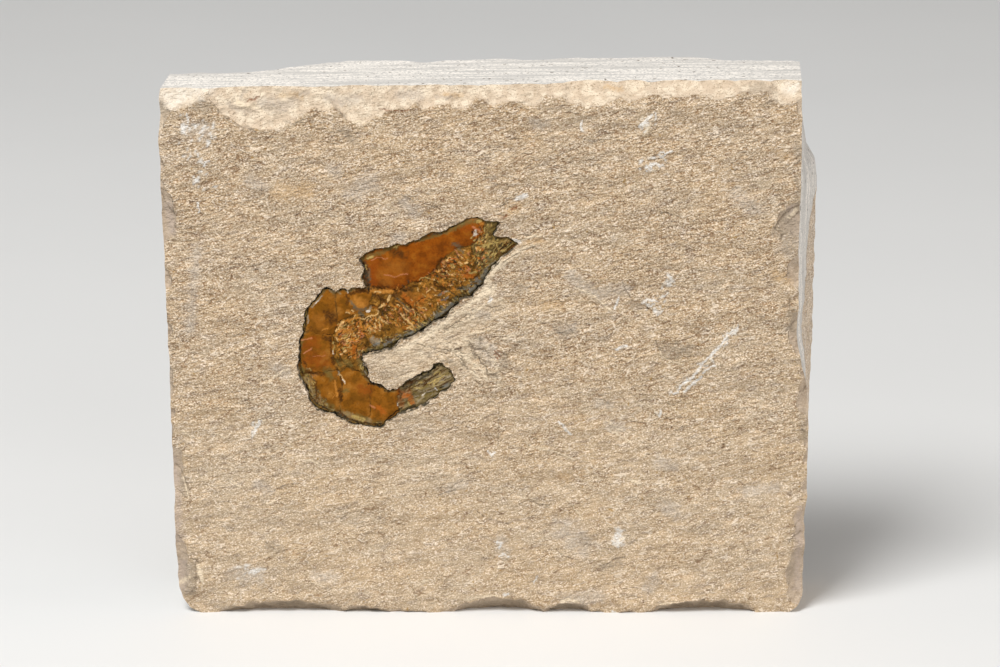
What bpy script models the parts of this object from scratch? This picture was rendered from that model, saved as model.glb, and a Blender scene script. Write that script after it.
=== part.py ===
"""A fossil shrimp lying curled in the face of a sawn limestone slab.

The slab stands on its flat lower edge. Its face, with the shrimp, looks along -Y, +X is to the right
and +Z is up. The origin is on the ground under the middle of the slab. Shapes are written in
millimetres and turned into metres where a mesh is made.
"""
import math

import bmesh
import bpy
from mathutils import Matrix, Vector, geometry, noise

MM = 0.001

# Slab: the flat face's plane, and the height of the sawn top, which rises a little to the right
FACE_Y = -8.0
HEIGHT_LEFT = 77.5
HEIGHT_RIGHT = 78.4
HALF_WIDTH = 46.1

# Slab outline: (height, x) down each side, on the face and on the back
FACE_LEFT = [(0.0, -41.9), (0.7, -43.3), (2.1, -44.3), (3.6, -44.8), (10.0, -45.1), (22.0, -45.2),
             (40.0, -45.5), (52.0, -45.7), (63.0, -HALF_WIDTH), (76.0, -46.0), (78.5, -45.6)]
FACE_RIGHT = [(0.0, 42.6), (1.0, 44.0), (2.2, 44.6), (11.0, 44.7), (25.0, 44.9), (31.0, 44.8),
              (35.0, 44.2), (40.0, 43.1), (57.0, 43.0), (69.0, 43.1), (78.5, 42.9)]
BACK_LEFT = [(0.0, -42.6), (2.1, -44.2), (10.0, -44.8), (40.0, -45.1), (63.0, -45.5), (78.5, -45.0)]
BACK_RIGHT = [(0.0, 43.2), (2.2, 44.9), (15.0, 45.2), (25.0, 45.6), (36.0, HALF_WIDTH), (61.0, HALF_WIDTH),
              (64.0, 45.7), (66.0, 44.5), (70.0, 43.8), (78.5, 43.3)]

# Slab back: (x, y) along the sawn top, where the back broke unevenly, and along the foot
BACK_TOP = [(-46.0, 1.1), (-41.0, 1.5), (-34.0, 1.8), (-30.5, 2.8), (-27.0, 4.9), (-23.5, 6.4),
            (-20.0, 7.4), (-13.0, 7.7), (-9.4, 6.0), (-5.9, 6.9), (1.0, 7.2), (8.0, 6.9), (15.0, 7.7),
            (22.5, 8.1), (29.5, 7.8), (33.0, 6.1), (36.5, 5.8), (42.0, 5.0), (46.0, 3.0)]
BACK_FOOT = [(-46.0, 3.6), (-25.0, 6.0), (0.0, 7.2), (25.0, 7.0), (46.0, 5.0)]
BACK_BREAK = (0.55, 1.0)      # share of the height over which the foot's line turns into the top's

# Slab grid and the unevenness of its two broad faces
COLUMNS = 26
FOOT_ROWS = [0.0, 0.7, 2.1, 3.6, 6.5]
UPPER_ROWS = 20
FACE_SWELL = 0.22
BACK_SWELL = 0.75
SWELL_SIZE = 11.0
BACK_LUMP_SIZE = 7.0

# Chips on the edges round the face, and fewer round the back: (place along the edge, half width,
# reach over the broad face, reach over the sawn side). A chip is part of a ball centred off the edge.
TOP_CHIPS = [(-43.2, 3.8, 2.9, 1.1), (-31.4, 8.4, 5.8, 1.5), (-18.5, 4.4, 5.3, 1.6), (-12.8, 3.6, 3.4, 1.3),
             (-8.4, 4.0, 2.9, 1.5), (-4.0, 2.9, 3.2, 1.2), (0.6, 3.4, 2.5, 1.2), (5.0, 4.0, 2.6, 1.4),
             (9.2, 2.8, 1.6, 1.5), (13.8, 5.0, 3.0, 3.1), (19.6, 3.0, 2.1, 2.9), (25.4, 4.8, 1.7, 2.7),
             (31.2, 3.8, 2.0, 2.5), (36.0, 3.4, 1.4, 2.2), (41.0, 3.6, 2.6, 2.2)]
FOOT_CHIPS = [(-30.0, 9.2, 1.7, 1.9), (-18.4, 4.2, 0.7, 1.0), (0.8, 6.8, 2.1, 2.2), (11.0, 3.8, 1.3, 1.5),
              (30.4, 7.8, 1.8, 2.0)]
RIGHT_CHIPS = [(5.5, 5.0, 2.6, 1.3), (13.0, 3.2, 1.8, 0.9), (32.4, 3.4, 1.5, 0.9), (41.6, 2.8, 1.1, 0.8),
               (51.0, 2.6, 1.7, 0.8), (58.8, 2.6, 3.2, 1.0)]
LEFT_CHIPS = [(7.4, 5.2, 1.6, 1.0), (22.4, 3.2, 1.7, 0.9), (34.6, 2.6, 0.9, 0.7), (59.4, 4.4, 2.0, 1.1),
              (74.0, 2.6, 1.0, 0.8)]
BACK_TOP_CHIPS = [(-37.0, 5.0, 2.4, 1.0), (-9.2, 3.4, 2.8, 0.8), (12.0, 3.2, 1.6, 0.7), (34.5, 4.6, 3.2, 1.0)]
BACK_FOOT_CHIPS = [(-22.0, 5.0, 1.8, 1.2), (17.0, 6.0, 2.4, 1.5)]
BACK_SIDE_CHIPS = [(18.0, 4.2, 2.2, 1.2), (46.0, 3.4, 1.8, 0.9), (67.0, 3.0, 1.6, 0.9)]
CHIP_HOLLOW = 0.5             # how far off the edge a chip's centre lies, as a share of its reaches
FINE_CHIP = 4.0               # chips with a half width over this get the finer ball

# Shrimp: a shallow bed in the face holds its plates, each clear of its neighbours
GAP = 0.3
BED_DEPTH = 1.15
PLATE_BACK = BED_DEPTH - GAP
PLATE_RIM = 0.38
PLATE_CELL = 0.85
PLATE_MARGIN = 0.42           # how near a plate's inner points come to its rim or to a ridge
RIM_ROUND = 1.6               # how far in from the rim a plate's crown is reached

# Rims of the shrimp, (x, z). Each is shared by the plates, or by a plate and the bed, on its two sides.
BACK_1 = [(-22.0, 48.0), (-21.4, 48.4), (-20.8, 48.7), (-20.0, 48.5), (-18.9, 48.8), (-17.9, 49.0)]
BACK_2 = [(-26.5, 42.0), (-26.4, 42.9), (-26.2, 43.9), (-26.1, 44.8), (-25.9, 45.6), (-25.3, 46.6),
          (-24.6, 47.5), (-23.9, 48.3), (-23.2, 48.8), (-22.5, 48.7), (-22.0, 48.0)]
BACK_3 = [(-27.3, 36.0), (-27.4, 37.5), (-27.2, 39.3), (-27.2, 40.6), (-27.0, 41.4), (-26.5, 42.0)]
BACK_4 = [(-21.5, 29.4), (-22.3, 30.1), (-23.1, 30.2), (-24.0, 30.6), (-25.0, 31.0), (-25.6, 32.0),
          (-26.1, 33.0), (-26.5, 34.2), (-26.8, 35.3), (-27.3, 36.0)]
BACK_5 = [(-17.7, 28.1), (-18.6, 28.3), (-19.6, 28.5), (-20.4, 28.8), (-21.0, 29.2), (-21.5, 29.4)]
BACK_6 = [(-13.1, 29.9), (-13.6, 29.5), (-14.3, 29.0), (-15.1, 28.5), (-15.9, 28.2), (-16.8, 28.0),
          (-17.7, 28.1)]
CARAPACE_BACK = [(-17.9, 49.0), (-18.0, 50.2), (-18.1, 51.4), (-18.4, 53.0), (-17.5, 53.9), (-16.3, 54.5),
                 (-14.6, 54.8), (-13.4, 55.3), (-12.1, 55.2), (-10.7, 55.6), (-9.1, 56.7), (-7.2, 57.1),
                 (-5.6, 57.7), (-4.4, 58.3), (-3.2, 58.9), (-2.0, 59.0), (-1.1, 58.8)]
HEAD_FRONT = [(-1.1, 58.8), (-0.3, 58.5), (0.3, 58.6), (1.1, 58.7), (1.4, 58.2), (0.8, 57.5), (0.7, 56.9),
              (0.3, 56.4), (1.2, 56.1), (2.2, 56.3), (3.0, 55.9), (4.0, 55.3), (3.3, 54.7), (2.0, 53.7),
              (1.0, 52.6), (0.1, 51.7), (-0.4, 50.7), (-0.9, 49.9), (-1.0, 49.1)]
LEG_EDGE = [(-1.0, 49.1), (-1.8, 48.8), (-2.3, 48.2), (-2.5, 47.5), (-3.5, 47.2), (-4.3, 46.9), (-4.9, 46.1),
            (-5.6, 45.3), (-6.7, 44.4), (-8.2, 43.4), (-9.5, 42.4), (-11.0, 41.7), (-12.6, 41.0),
            (-13.3, 40.3), (-14.0, 39.8)]
SWIMMERET_EDGE = [(-14.0, 39.8), (-15.2, 39.4), (-16.2, 39.2), (-17.2, 39.0), (-18.2, 38.8), (-18.1, 38.0),
                  (-17.6, 37.3), (-17.3, 36.5), (-17.3, 35.6)]
BELLY_5 = [(-17.3, 35.6), (-16.9, 34.9)]
BELLY_6 = [(-16.9, 34.9), (-16.2, 34.6), (-15.2, 34.1), (-14.4, 33.7), (-13.3, 34.1)]
TAIL_TOP = [(-13.3, 34.1), (-12.3, 34.8), (-11.4, 35.6), (-10.3, 36.0), (-8.6, 36.7), (-8.2, 37.5),
            (-7.6, 37.8), (-6.8, 37.7), (-6.3, 37.0), (-5.7, 36.3)]
TAIL_MIDDLE = [(-5.7, 36.3), (-5.3, 35.9), (-5.0, 35.4), (-5.1, 34.8), (-5.6, 34.2), (-6.3, 33.7), (-7.1, 33.5)]
TAIL_FOOT = [(-7.1, 33.5), (-7.4, 32.7), (-8.2, 32.1), (-9.1, 31.5), (-10.2, 31.1), (-11.4, 30.6),
             (-12.4, 30.2), (-13.1, 29.9)]
SEAM_CARAPACE_LEGS = [(-3.0, 54.9), (-5.2, 54.4), (-6.7, 53.3), (-7.6, 51.9), (-8.8, 50.5), (-10.2, 49.7),
                      (-12.0, 49.0), (-13.4, 48.4), (-15.2, 48.6), (-16.6, 48.8)]
SEAM_CARAPACE_1 = [(-16.6, 48.8), (-17.9, 49.0)]
SEAM_CARAPACE_HEAD = [(-1.1, 58.8), (-0.9, 57.9), (-1.0, 56.9), (-1.9, 55.8), (-3.0, 54.9)]
SEAM_HEAD_LEGS = [(-3.0, 54.9), (-2.3, 53.4), (-1.9, 52.0), (-1.8, 50.5), (-1.0, 49.1)]
SEAM_LEGS_SWIMMERETS = [(-16.6, 48.8), (-15.6, 47.2), (-15.7, 45.4), (-15.5, 43.5), (-14.7, 41.5),
                        (-14.0, 39.8)]
SEAM_1_SWIMMERETS = [(-21.8, 42.9), (-21.2, 44.0), (-19.4, 44.8), (-17.8, 45.3), (-17.0, 46.2), (-16.6, 48.8)]
SEAM_1_2 = [(-22.0, 48.0), (-21.7, 46.2), (-21.6, 44.4), (-21.8, 42.9)]
SEAM_2_SWIMMERETS = [(-21.8, 42.9), (-22.4, 41.7)]
SEAM_2_3 = [(-26.5, 42.0), (-25.3, 42.2), (-23.7, 41.8), (-22.4, 41.7)]
SEAM_3_SWIMMERETS = [(-22.4, 41.7), (-22.2, 40.4), (-22.1, 39.1), (-22.4, 37.9), (-22.0, 36.7)]
SEAM_3_4 = [(-27.3, 36.0), (-25.6, 36.1), (-23.6, 36.2), (-22.0, 36.7)]
SEAM_4_SWIMMERETS = [(-22.0, 36.7), (-21.4, 36.1)]
SEAM_4_5 = [(-21.4, 36.1), (-21.1, 34.6), (-21.1, 33.2), (-21.4, 31.6), (-21.5, 29.4)]
SEAM_5_SWIMMERETS = [(-21.4, 36.1), (-20.4, 36.9), (-18.8, 36.5), (-17.3, 35.6)]
SEAM_5_6 = [(-16.9, 34.9), (-17.0, 33.2), (-17.1, 31.4), (-17.4, 29.8), (-17.7, 28.1)]
SEAM_6_TAIL = [(-13.3, 34.1), (-13.1, 33.0), (-13.3, 31.4), (-13.1, 29.9)]
SEAM_TAIL_UPPER = [(-13.1, 33.0), (-11.4, 33.7), (-9.4, 34.5), (-7.4, 35.4), (-5.7, 36.3)]
SEAM_TAIL_LOWER = [(-13.3, 31.4), (-11.6, 32.0), (-10.0, 32.8), (-8.4, 33.4), (-7.1, 33.5)]

# Ridges on the plates: each a short line of (x, z) that stands up from its plate
LEG_RIDGES = [[(-12.6, 47.8), (-11.2, 45.4)], [(-14.3, 47.2), (-12.4, 45.0), (-10.9, 43.6)],
              [(-14.4, 44.6), (-12.6, 42.2)], [(-10.6, 48.6), (-9.2, 46.2), (-8.7, 44.6)],
              [(-8.2, 49.8), (-6.4, 47.2), (-6.2, 45.8)], [(-6.4, 52.0), (-4.6, 49.4), (-4.2, 47.8)],
              [(-4.4, 53.4), (-2.9, 50.8)]]
SWIMMERET_RIDGES = [[(-20.6, 43.4), (-19.2, 41.6), (-18.9, 40.0)], [(-18.4, 44.2), (-17.2, 42.2), (-16.8, 40.2)],
                    [(-16.4, 45.4), (-16.2, 43.4), (-15.2, 41.2)], [(-21.2, 41.0), (-20.2, 39.2), (-18.9, 38.2)],
                    [(-21.2, 38.2), (-19.4, 37.4)], [(-15.9, 47.6), (-16.3, 46.4)]]
HEAD_RIDGES = [[(-1.4, 55.4), (0.8, 55.2), (3.0, 55.3)], [(-1.2, 52.2), (0.4, 53.2), (2.0, 54.3)],
               [(-0.4, 57.4), (0.8, 58.1)]]
TAIL_RIDGES = {
    "uropod_inner": [[(-12.3, 34.2), (-9.8, 35.3), (-7.4, 36.9)], [(-9.0, 35.2), (-6.8, 36.3)]],
    "uropod_outer": [[(-12.3, 32.7), (-9.6, 33.8), (-6.0, 35.2)]],
    "telson": [[(-12.4, 31.0), (-10.0, 31.9), (-8.2, 32.8)]],
}
RIDGE_HEIGHT = 0.2

# Colours, linear, and how each surface shines: (colour, roughness)
LIMESTONE = ((0.56, 0.43, 0.29), 0.85)
SHELL = ((0.33, 0.10, 0.015), 0.45)
SOFT_SHELL = ((0.34, 0.16, 0.045), 0.5)
TAIL_SHELL = ((0.20, 0.13, 0.055), 0.55)


def clear_scene():
    for old in list(bpy.data.objects):
        bpy.data.objects.remove(old, do_unlink=True)


def surface(name, look):
    """A plain material from one of the looks above."""
    colour, roughness = look
    material = bpy.data.materials.new(name)
    material.use_nodes = True
    shader = material.node_tree.nodes["Principled BSDF"]
    shader.inputs["Base Color"].default_value = (*colour, 1.0)
    shader.inputs["Roughness"].default_value = roughness
    shader.inputs["Metallic"].default_value = 0.0
    material.diffuse_color = (*colour, 1.0)
    return material


def add_object(name, mesh_data, material=None):
    """Put a bmesh made in millimetres into the scene as an object in metres."""
    bmesh.ops.transform(mesh_data, matrix=Matrix.Scale(MM, 4), verts=mesh_data.verts)
    bmesh.ops.recalc_face_normals(mesh_data, faces=mesh_data.faces)
    mesh = bpy.data.meshes.new(name)
    mesh_data.to_mesh(mesh)
    mesh_data.free()
    if material:
        mesh.materials.append(material)
    obj = bpy.data.objects.new(name, mesh)
    bpy.context.collection.objects.link(obj)
    return obj


def shade(obj):
    obj.data.shade_smooth()
    obj.data.set_sharp_from_angle(angle=math.radians(32))


def cut(target, cutter, overlapping=False):
    """Take a hidden cutter's shape out of an object."""
    cutter.hide_render = True
    cutter.display_type = "WIRE"
    boolean = target.modifiers.new(cutter.name, "BOOLEAN")
    boolean.operation = "DIFFERENCE"
    boolean.solver = "EXACT"
    boolean.use_self = overlapping
    boolean.object = cutter


def along(profile, place):
    """Read a line of (place, value) points, straight between them."""
    if place <= profile[0][0]:
        return profile[0][1]
    for (start, low), (end, high) in zip(profile, profile[1:]):
        if place <= end:
            return low + (high - low) * (place - start) / (end - start)
    return profile[-1][1]


def ease(low, high, value):
    share = min(max((value - low) / (high - low), 0.0), 1.0)
    return share * share * (3.0 - 2.0 * share)


def top_height(x):
    share = (x + HALF_WIDTH) / (2.0 * HALF_WIDTH)
    return HEIGHT_LEFT + (HEIGHT_RIGHT - HEIGHT_LEFT) * share


def face_depth(x, z):
    """The face, with its low swells."""
    return FACE_Y + FACE_SWELL * noise.noise(Vector((x, 0.0, z)) / SWELL_SIZE)


def back_depth(x, z):
    """The broken back: the foot's line turning into the top's, with swells and lumps."""
    share = ease(*BACK_BREAK, z / top_height(x))
    depth = along(BACK_FOOT, x) * (1.0 - share) + along(BACK_TOP, x) * share
    swell = noise.noise(Vector((x, 40.0, z)) / SWELL_SIZE)
    lump = noise.noise(Vector((x, 80.0, z)) / BACK_LUMP_SIZE)
    middle = 4.0 * (z / top_height(x)) * (1.0 - z / top_height(x))
    return depth + BACK_SWELL * (swell + 0.6 * lump) * middle


def slab_rows():
    """Heights of the grid's rows as shares of the slab's height: close together at the rounded foot."""
    shares = [row / HEIGHT_LEFT for row in FOOT_ROWS]
    last = shares[-1]
    return shares + [last + (1.0 - last) * step / UPPER_ROWS for step in range(1, UPPER_ROWS + 1)]


def slab_side(mesh_data, left, right, depth):
    """One broad face of the slab, as a grid of points: a list of rows."""
    grid = []
    for share in slab_rows():
        level = share * HEIGHT_LEFT
        start, end = along(left, level), along(right, level)
        row = []
        for column in range(COLUMNS + 1):
            x = start + (end - start) * column / COLUMNS
            z = share * top_height(x)
            row.append(mesh_data.verts.new((x, depth(x, z), z)))
        grid.append(row)
    return grid


def rim_of(grid):
    """The grid's border, once round."""
    foot, top = grid[0], grid[-1]
    right = [row[-1] for row in grid[1:-1]]
    left = [row[0] for row in grid[1:-1]]
    return foot + right + top[::-1] + left[::-1]


def slab_block():
    """The slab before anything is chipped off it: two uneven faces and four sawn sides."""
    mesh_data = bmesh.new()
    face = slab_side(mesh_data, FACE_LEFT, FACE_RIGHT, face_depth)
    back = slab_side(mesh_data, BACK_LEFT, BACK_RIGHT, back_depth)
    for grid in (face, back):
        for lower, upper in zip(grid, grid[1:]):
            for column in range(COLUMNS):
                mesh_data.faces.new((lower[column], lower[column + 1], upper[column + 1], upper[column]))
    face_rim, back_rim = rim_of(face), rim_of(back)
    for index, corner in enumerate(face_rim):
        following = (index + 1) % len(face_rim)
        mesh_data.faces.new((corner, face_rim[following], back_rim[following], back_rim[index]))
    return mesh_data


def chip(mesh_data, edge_point, edge, face_out, side_out, size):
    """A ball, stretched so that it takes a shallow chip of the given size off an edge."""
    half_width, face_reach, side_reach = size
    radius = math.hypot(CHIP_HOLLOW, 1.0 + CHIP_HOLLOW)
    spread = math.sqrt(radius ** 2 - 2.0 * CHIP_HOLLOW ** 2)
    centre = edge_point + CHIP_HOLLOW * (side_reach * face_out + face_reach * side_out)
    scale = Matrix.Diagonal((half_width * radius / spread, side_reach * radius, face_reach * radius, 1.0))
    turn = Matrix((edge, face_out, side_out)).transposed().to_4x4()
    detail = 3 if half_width > FINE_CHIP else 2
    bmesh.ops.create_icosphere(mesh_data, subdivisions=detail, radius=1.0,
                               matrix=Matrix.Translation(centre) @ turn @ scale)


def chip_cutter():
    mesh_data = bmesh.new()
    out, up, across = Vector((0, -1, 0)), Vector((0, 0, 1)), Vector((1, 0, 0))
    for place, *size in TOP_CHIPS:
        chip(mesh_data, Vector((place, FACE_Y, top_height(place))), across, out, up, size)
    for place, *size in FOOT_CHIPS:
        chip(mesh_data, Vector((place, FACE_Y, 0.0)), across, out, -up, size)
    for place, *size in RIGHT_CHIPS:
        chip(mesh_data, Vector((along(FACE_RIGHT, place), FACE_Y, place)), up, out, across, size)
    for place, *size in LEFT_CHIPS:
        chip(mesh_data, Vector((along(FACE_LEFT, place), FACE_Y, place)), up, out, -across, size)
    for place, *size in BACK_TOP_CHIPS:
        top = top_height(place)
        chip(mesh_data, Vector((place, back_depth(place, top), top)), across, -out, up, size)
    for place, *size in BACK_FOOT_CHIPS:
        chip(mesh_data, Vector((place, back_depth(place, 0.0), 0.0)), across, -out, -up, size)
    for place, *size in BACK_SIDE_CHIPS:
        for side, sideways in ((BACK_LEFT, -across), (BACK_RIGHT, across)):
            x = along(side, place)
            chip(mesh_data, Vector((x, back_depth(x, place), place)), up, -out, sideways, size)
    return add_object("chip_cutter", mesh_data)


def chain(*rims):
    """Join rims end to end into one closed outline, turning each to follow the one before."""
    outline = list(rims[0])
    if outline[0] in (rims[1][0], rims[1][-1]):
        outline.reverse()
    for rim in rims[1:]:
        following = rim if rim[0] == outline[-1] else rim[::-1]
        outline += following[1:]
    if outline[0] == outline[-1]:
        outline.pop()
    return outline


def part_of(rim, start, end):
    """The stretch of a rim from one of its points to another."""
    return rim[rim.index(start):rim.index(end) + 1]


def signed_area(outline):
    pairs = zip(outline, outline[1:] + outline[:1])
    return 0.5 * sum(a[0] * b[1] - b[0] * a[1] for a, b in pairs)


def offset(outline, distance):
    """Move an outline inwards by a distance, or outwards by a negative one."""
    points = [Vector(point) for point in outline]
    if signed_area(outline) < 0.0:
        points.reverse()
    moved = []
    for index, point in enumerate(points):
        before = (point - points[index - 1]).normalized()
        after = (points[(index + 1) % len(points)] - point).normalized()
        inward = Vector((-before.y - after.y, before.x + after.x)).normalized()
        slant = max(inward.dot(Vector((-before.y, before.x))), 0.6)
        moved.append(point + inward * distance / slant)
    return moved


def distance_to(line, point):
    """Shortest distance from a point to a line of points."""
    best = math.inf
    for start, end in zip(line, line[1:]):
        span = end - start
        share = min(max((point - start).dot(span) / span.length_squared, 0.0), 1.0)
        best = min(best, (point - start - span * share).length)
    return best


def inside(outline, point):
    crossings = 0
    for start, end in zip(outline, outline[1:] + outline[:1]):
        if (start.y > point.y) != (end.y > point.y):
            cross = start.x + (point.y - start.y) / (end.y - start.y) * (end.x - start.x)
            crossings += cross > point.x
    return crossings % 2 == 1


def ridge_points(ridges):
    """The ridges as lines of points about one cell apart."""
    lines = []
    for ridge in ridges:
        points = [Vector(ridge[0])]
        for start, end in zip(ridge, ridge[1:]):
            start, end = Vector(start), Vector(end)
            steps = max(1, round((end - start).length / PLATE_CELL))
            points += [start.lerp(end, step / steps) for step in range(1, steps + 1)]
        lines.append(points)
    return lines


def inner_points(rim, lines):
    """A staggered grid of points inside the rim, clear of it and of the ridges."""
    closed = rim + rim[:1]
    low_x, high_x = min(p.x for p in rim), max(p.x for p in rim)
    low_z, high_z = min(p.y for p in rim), max(p.y for p in rim)
    row_step = PLATE_CELL * math.sin(math.radians(60))
    points = []
    for row in range(int((high_z - low_z) / row_step) + 1):
        shift = PLATE_CELL / 2.0 * (row % 2)
        for column in range(int((high_x - low_x) / PLATE_CELL) + 1):
            point = Vector((low_x + shift + column * PLATE_CELL, low_z + row * row_step))
            clear = all(distance_to(line, point) > PLATE_MARGIN for line in [closed] + lines)
            if clear and inside(rim, point):
                points.append(point)
    return points


def plate_surface(rim, crown, lines):
    """Points and triangles of a plate's top, as (x, z), with the height of each point over the rim."""
    points = list(rim)
    edges = [(index, (index + 1) % len(rim)) for index in range(len(rim))]
    for line in lines:
        first = len(points)
        points += line
        edges += [(first + step, first + step + 1) for step in range(len(line) - 1)]
    on_ridge = range(len(rim), len(points))
    points += inner_points(rim, lines)
    loop = list(range(len(rim)))
    verts, _, faces, origins, _, _ = geometry.delaunay_2d_cdt(points, edges, [loop], 1, 1e-6)
    closed = rim + rim[:1]
    heights = []
    for vert, origin in zip(verts, origins):
        rise = crown * ease(-RIM_ROUND, RIM_ROUND, distance_to(closed, vert)) * 2.0 - crown
        lifted = any(index in on_ridge for index in origin)
        heights.append(rise + RIDGE_HEIGHT * lifted)
    return verts, faces, heights


def plate(name, outline, crown, material, ridges=()):
    """One plate of the shrimp: a thin solid, highest along its middle and on its ridges."""
    rim = offset(outline, GAP / 2.0)
    lines = ridge_points(ridges)
    points, faces, heights = plate_surface(rim, crown, lines)
    mesh_data = bmesh.new()
    verts = [mesh_data.verts.new((point.x, FACE_Y + PLATE_RIM - height, point.y))
             for point, height in zip(points, heights)]
    top = [mesh_data.faces.new([verts[index] for index in face]) for face in faces]
    grown = bmesh.ops.extrude_face_region(mesh_data, geom=top, use_keep_orig=True)["geom"]
    under = [item for item in grown if isinstance(item, bmesh.types.BMVert)]
    for vert in under:
        vert.co.y = FACE_Y + PLATE_BACK
    bottom = [item for item in grown if isinstance(item, bmesh.types.BMFace)]
    bmesh.ops.dissolve_faces(mesh_data, faces=bottom)
    obj = add_object(name, mesh_data, material)
    shade(obj)
    return obj


def bed_cutter():
    """The bed that the plates lie in: the shrimp's whole outline, a little wider."""
    outline = chain(BACK_1, CARAPACE_BACK, HEAD_FRONT, LEG_EDGE, SWIMMERET_EDGE, BELLY_5, BELLY_6, TAIL_TOP,
                    TAIL_MIDDLE, TAIL_FOOT, BACK_6, BACK_5, BACK_4, BACK_3, BACK_2)
    rim = offset(outline, -GAP / 2.0)
    mesh_data = bmesh.new()
    floor = mesh_data.faces.new([mesh_data.verts.new((p.x, FACE_Y + BED_DEPTH, p.y)) for p in rim])
    grown = bmesh.ops.extrude_face_region(mesh_data, geom=[floor], use_keep_orig=True)["geom"]
    raised = [item for item in grown if isinstance(item, bmesh.types.BMVert)]
    bmesh.ops.translate(mesh_data, vec=(0.0, -2.0 * BED_DEPTH, 0.0), verts=raised)
    return add_object("bed_cutter", mesh_data)


def limestone_slab():
    slab = add_object("limestone_slab", slab_block(), surface("limestone", LIMESTONE))
    cut(slab, chip_cutter(), overlapping=True)
    cut(slab, bed_cutter())
    shade(slab)


def front_of_shrimp(shell, soft_shell):
    plate("carapace", chain(CARAPACE_BACK, SEAM_CARAPACE_HEAD, SEAM_CARAPACE_LEGS, SEAM_CARAPACE_1), 0.38, shell)
    plate("head", chain(HEAD_FRONT, SEAM_HEAD_LEGS, SEAM_CARAPACE_HEAD), 0.16, soft_shell, HEAD_RIDGES)
    plate("walking_legs", chain(LEG_EDGE, SEAM_LEGS_SWIMMERETS, SEAM_CARAPACE_LEGS, SEAM_HEAD_LEGS), 0.12,
          soft_shell, LEG_RIDGES)
    plate("swimmerets", chain(SWIMMERET_EDGE, SEAM_5_SWIMMERETS, SEAM_4_SWIMMERETS, SEAM_3_SWIMMERETS,
                              SEAM_2_SWIMMERETS, SEAM_1_SWIMMERETS, SEAM_LEGS_SWIMMERETS), 0.12,
          soft_shell, SWIMMERET_RIDGES)


def abdomen(shell):
    """The six segments behind the carapace, in order."""
    outlines = [
        chain(BACK_1, SEAM_CARAPACE_1, SEAM_1_SWIMMERETS, SEAM_1_2),
        chain(BACK_2, SEAM_1_2, SEAM_2_SWIMMERETS, SEAM_2_3),
        chain(BACK_3, SEAM_2_3, SEAM_3_SWIMMERETS, SEAM_3_4),
        chain(BACK_4, SEAM_3_4, SEAM_4_SWIMMERETS, SEAM_4_5),
        chain(BACK_5, SEAM_4_5, SEAM_5_SWIMMERETS, BELLY_5, SEAM_5_6),
        chain(BACK_6, SEAM_5_6, BELLY_6, SEAM_6_TAIL),
    ]
    for number, outline in enumerate(outlines, start=1):
        plate(f"abdomen_segment_{number}", outline, 0.3, shell)


def tail_fan(tail_shell):
    """The telson and the two uropods that show, side by side."""
    upper_root, lower_root = SEAM_TAIL_UPPER[0], SEAM_TAIL_LOWER[0]
    outlines = {
        "uropod_inner": chain(TAIL_TOP, SEAM_TAIL_UPPER, part_of(SEAM_6_TAIL, SEAM_6_TAIL[0], upper_root)),
        "uropod_outer": chain(TAIL_MIDDLE, SEAM_TAIL_LOWER, part_of(SEAM_6_TAIL, upper_root, lower_root),
                              SEAM_TAIL_UPPER),
        "telson": chain(TAIL_FOOT, part_of(SEAM_6_TAIL, lower_root, SEAM_6_TAIL[-1]), SEAM_TAIL_LOWER),
    }
    for name, outline in outlines.items():
        plate(name, outline, 0.1, tail_shell, TAIL_RIDGES[name])


def build():
    clear_scene()
    limestone_slab()
    shell = surface("shell", SHELL)
    front_of_shrimp(shell, surface("soft_shell", SOFT_SHELL))
    abdomen(shell)
    tail_fan(surface("tail_shell", TAIL_SHELL))


build()
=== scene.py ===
"""Looks of the fossil shrimp in its limestone slab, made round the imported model.

Shapes are written in millimetres and turned into metres where a mesh is made. The slab's face looks
along -Y. Places on it are (x, z), and depth is measured from the face's flat plane into the stone.
"""
import math
import random

import bmesh
import bpy
import numpy as np
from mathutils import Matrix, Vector, noise


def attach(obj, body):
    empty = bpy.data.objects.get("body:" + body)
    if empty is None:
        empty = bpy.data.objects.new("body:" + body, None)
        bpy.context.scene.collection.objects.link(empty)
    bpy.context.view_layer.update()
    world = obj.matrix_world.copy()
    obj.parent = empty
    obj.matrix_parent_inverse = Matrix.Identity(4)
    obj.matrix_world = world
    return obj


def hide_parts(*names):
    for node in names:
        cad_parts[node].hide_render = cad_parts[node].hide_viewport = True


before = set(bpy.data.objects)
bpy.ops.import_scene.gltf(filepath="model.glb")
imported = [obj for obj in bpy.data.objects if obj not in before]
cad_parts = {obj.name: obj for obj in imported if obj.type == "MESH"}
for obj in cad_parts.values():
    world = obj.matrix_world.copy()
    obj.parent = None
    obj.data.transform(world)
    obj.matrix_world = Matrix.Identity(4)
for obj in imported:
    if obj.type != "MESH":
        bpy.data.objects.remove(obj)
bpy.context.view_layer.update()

MM = 0.001
FAR = 9.0                     # a distance in millimetres that stands for nowhere near

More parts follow.
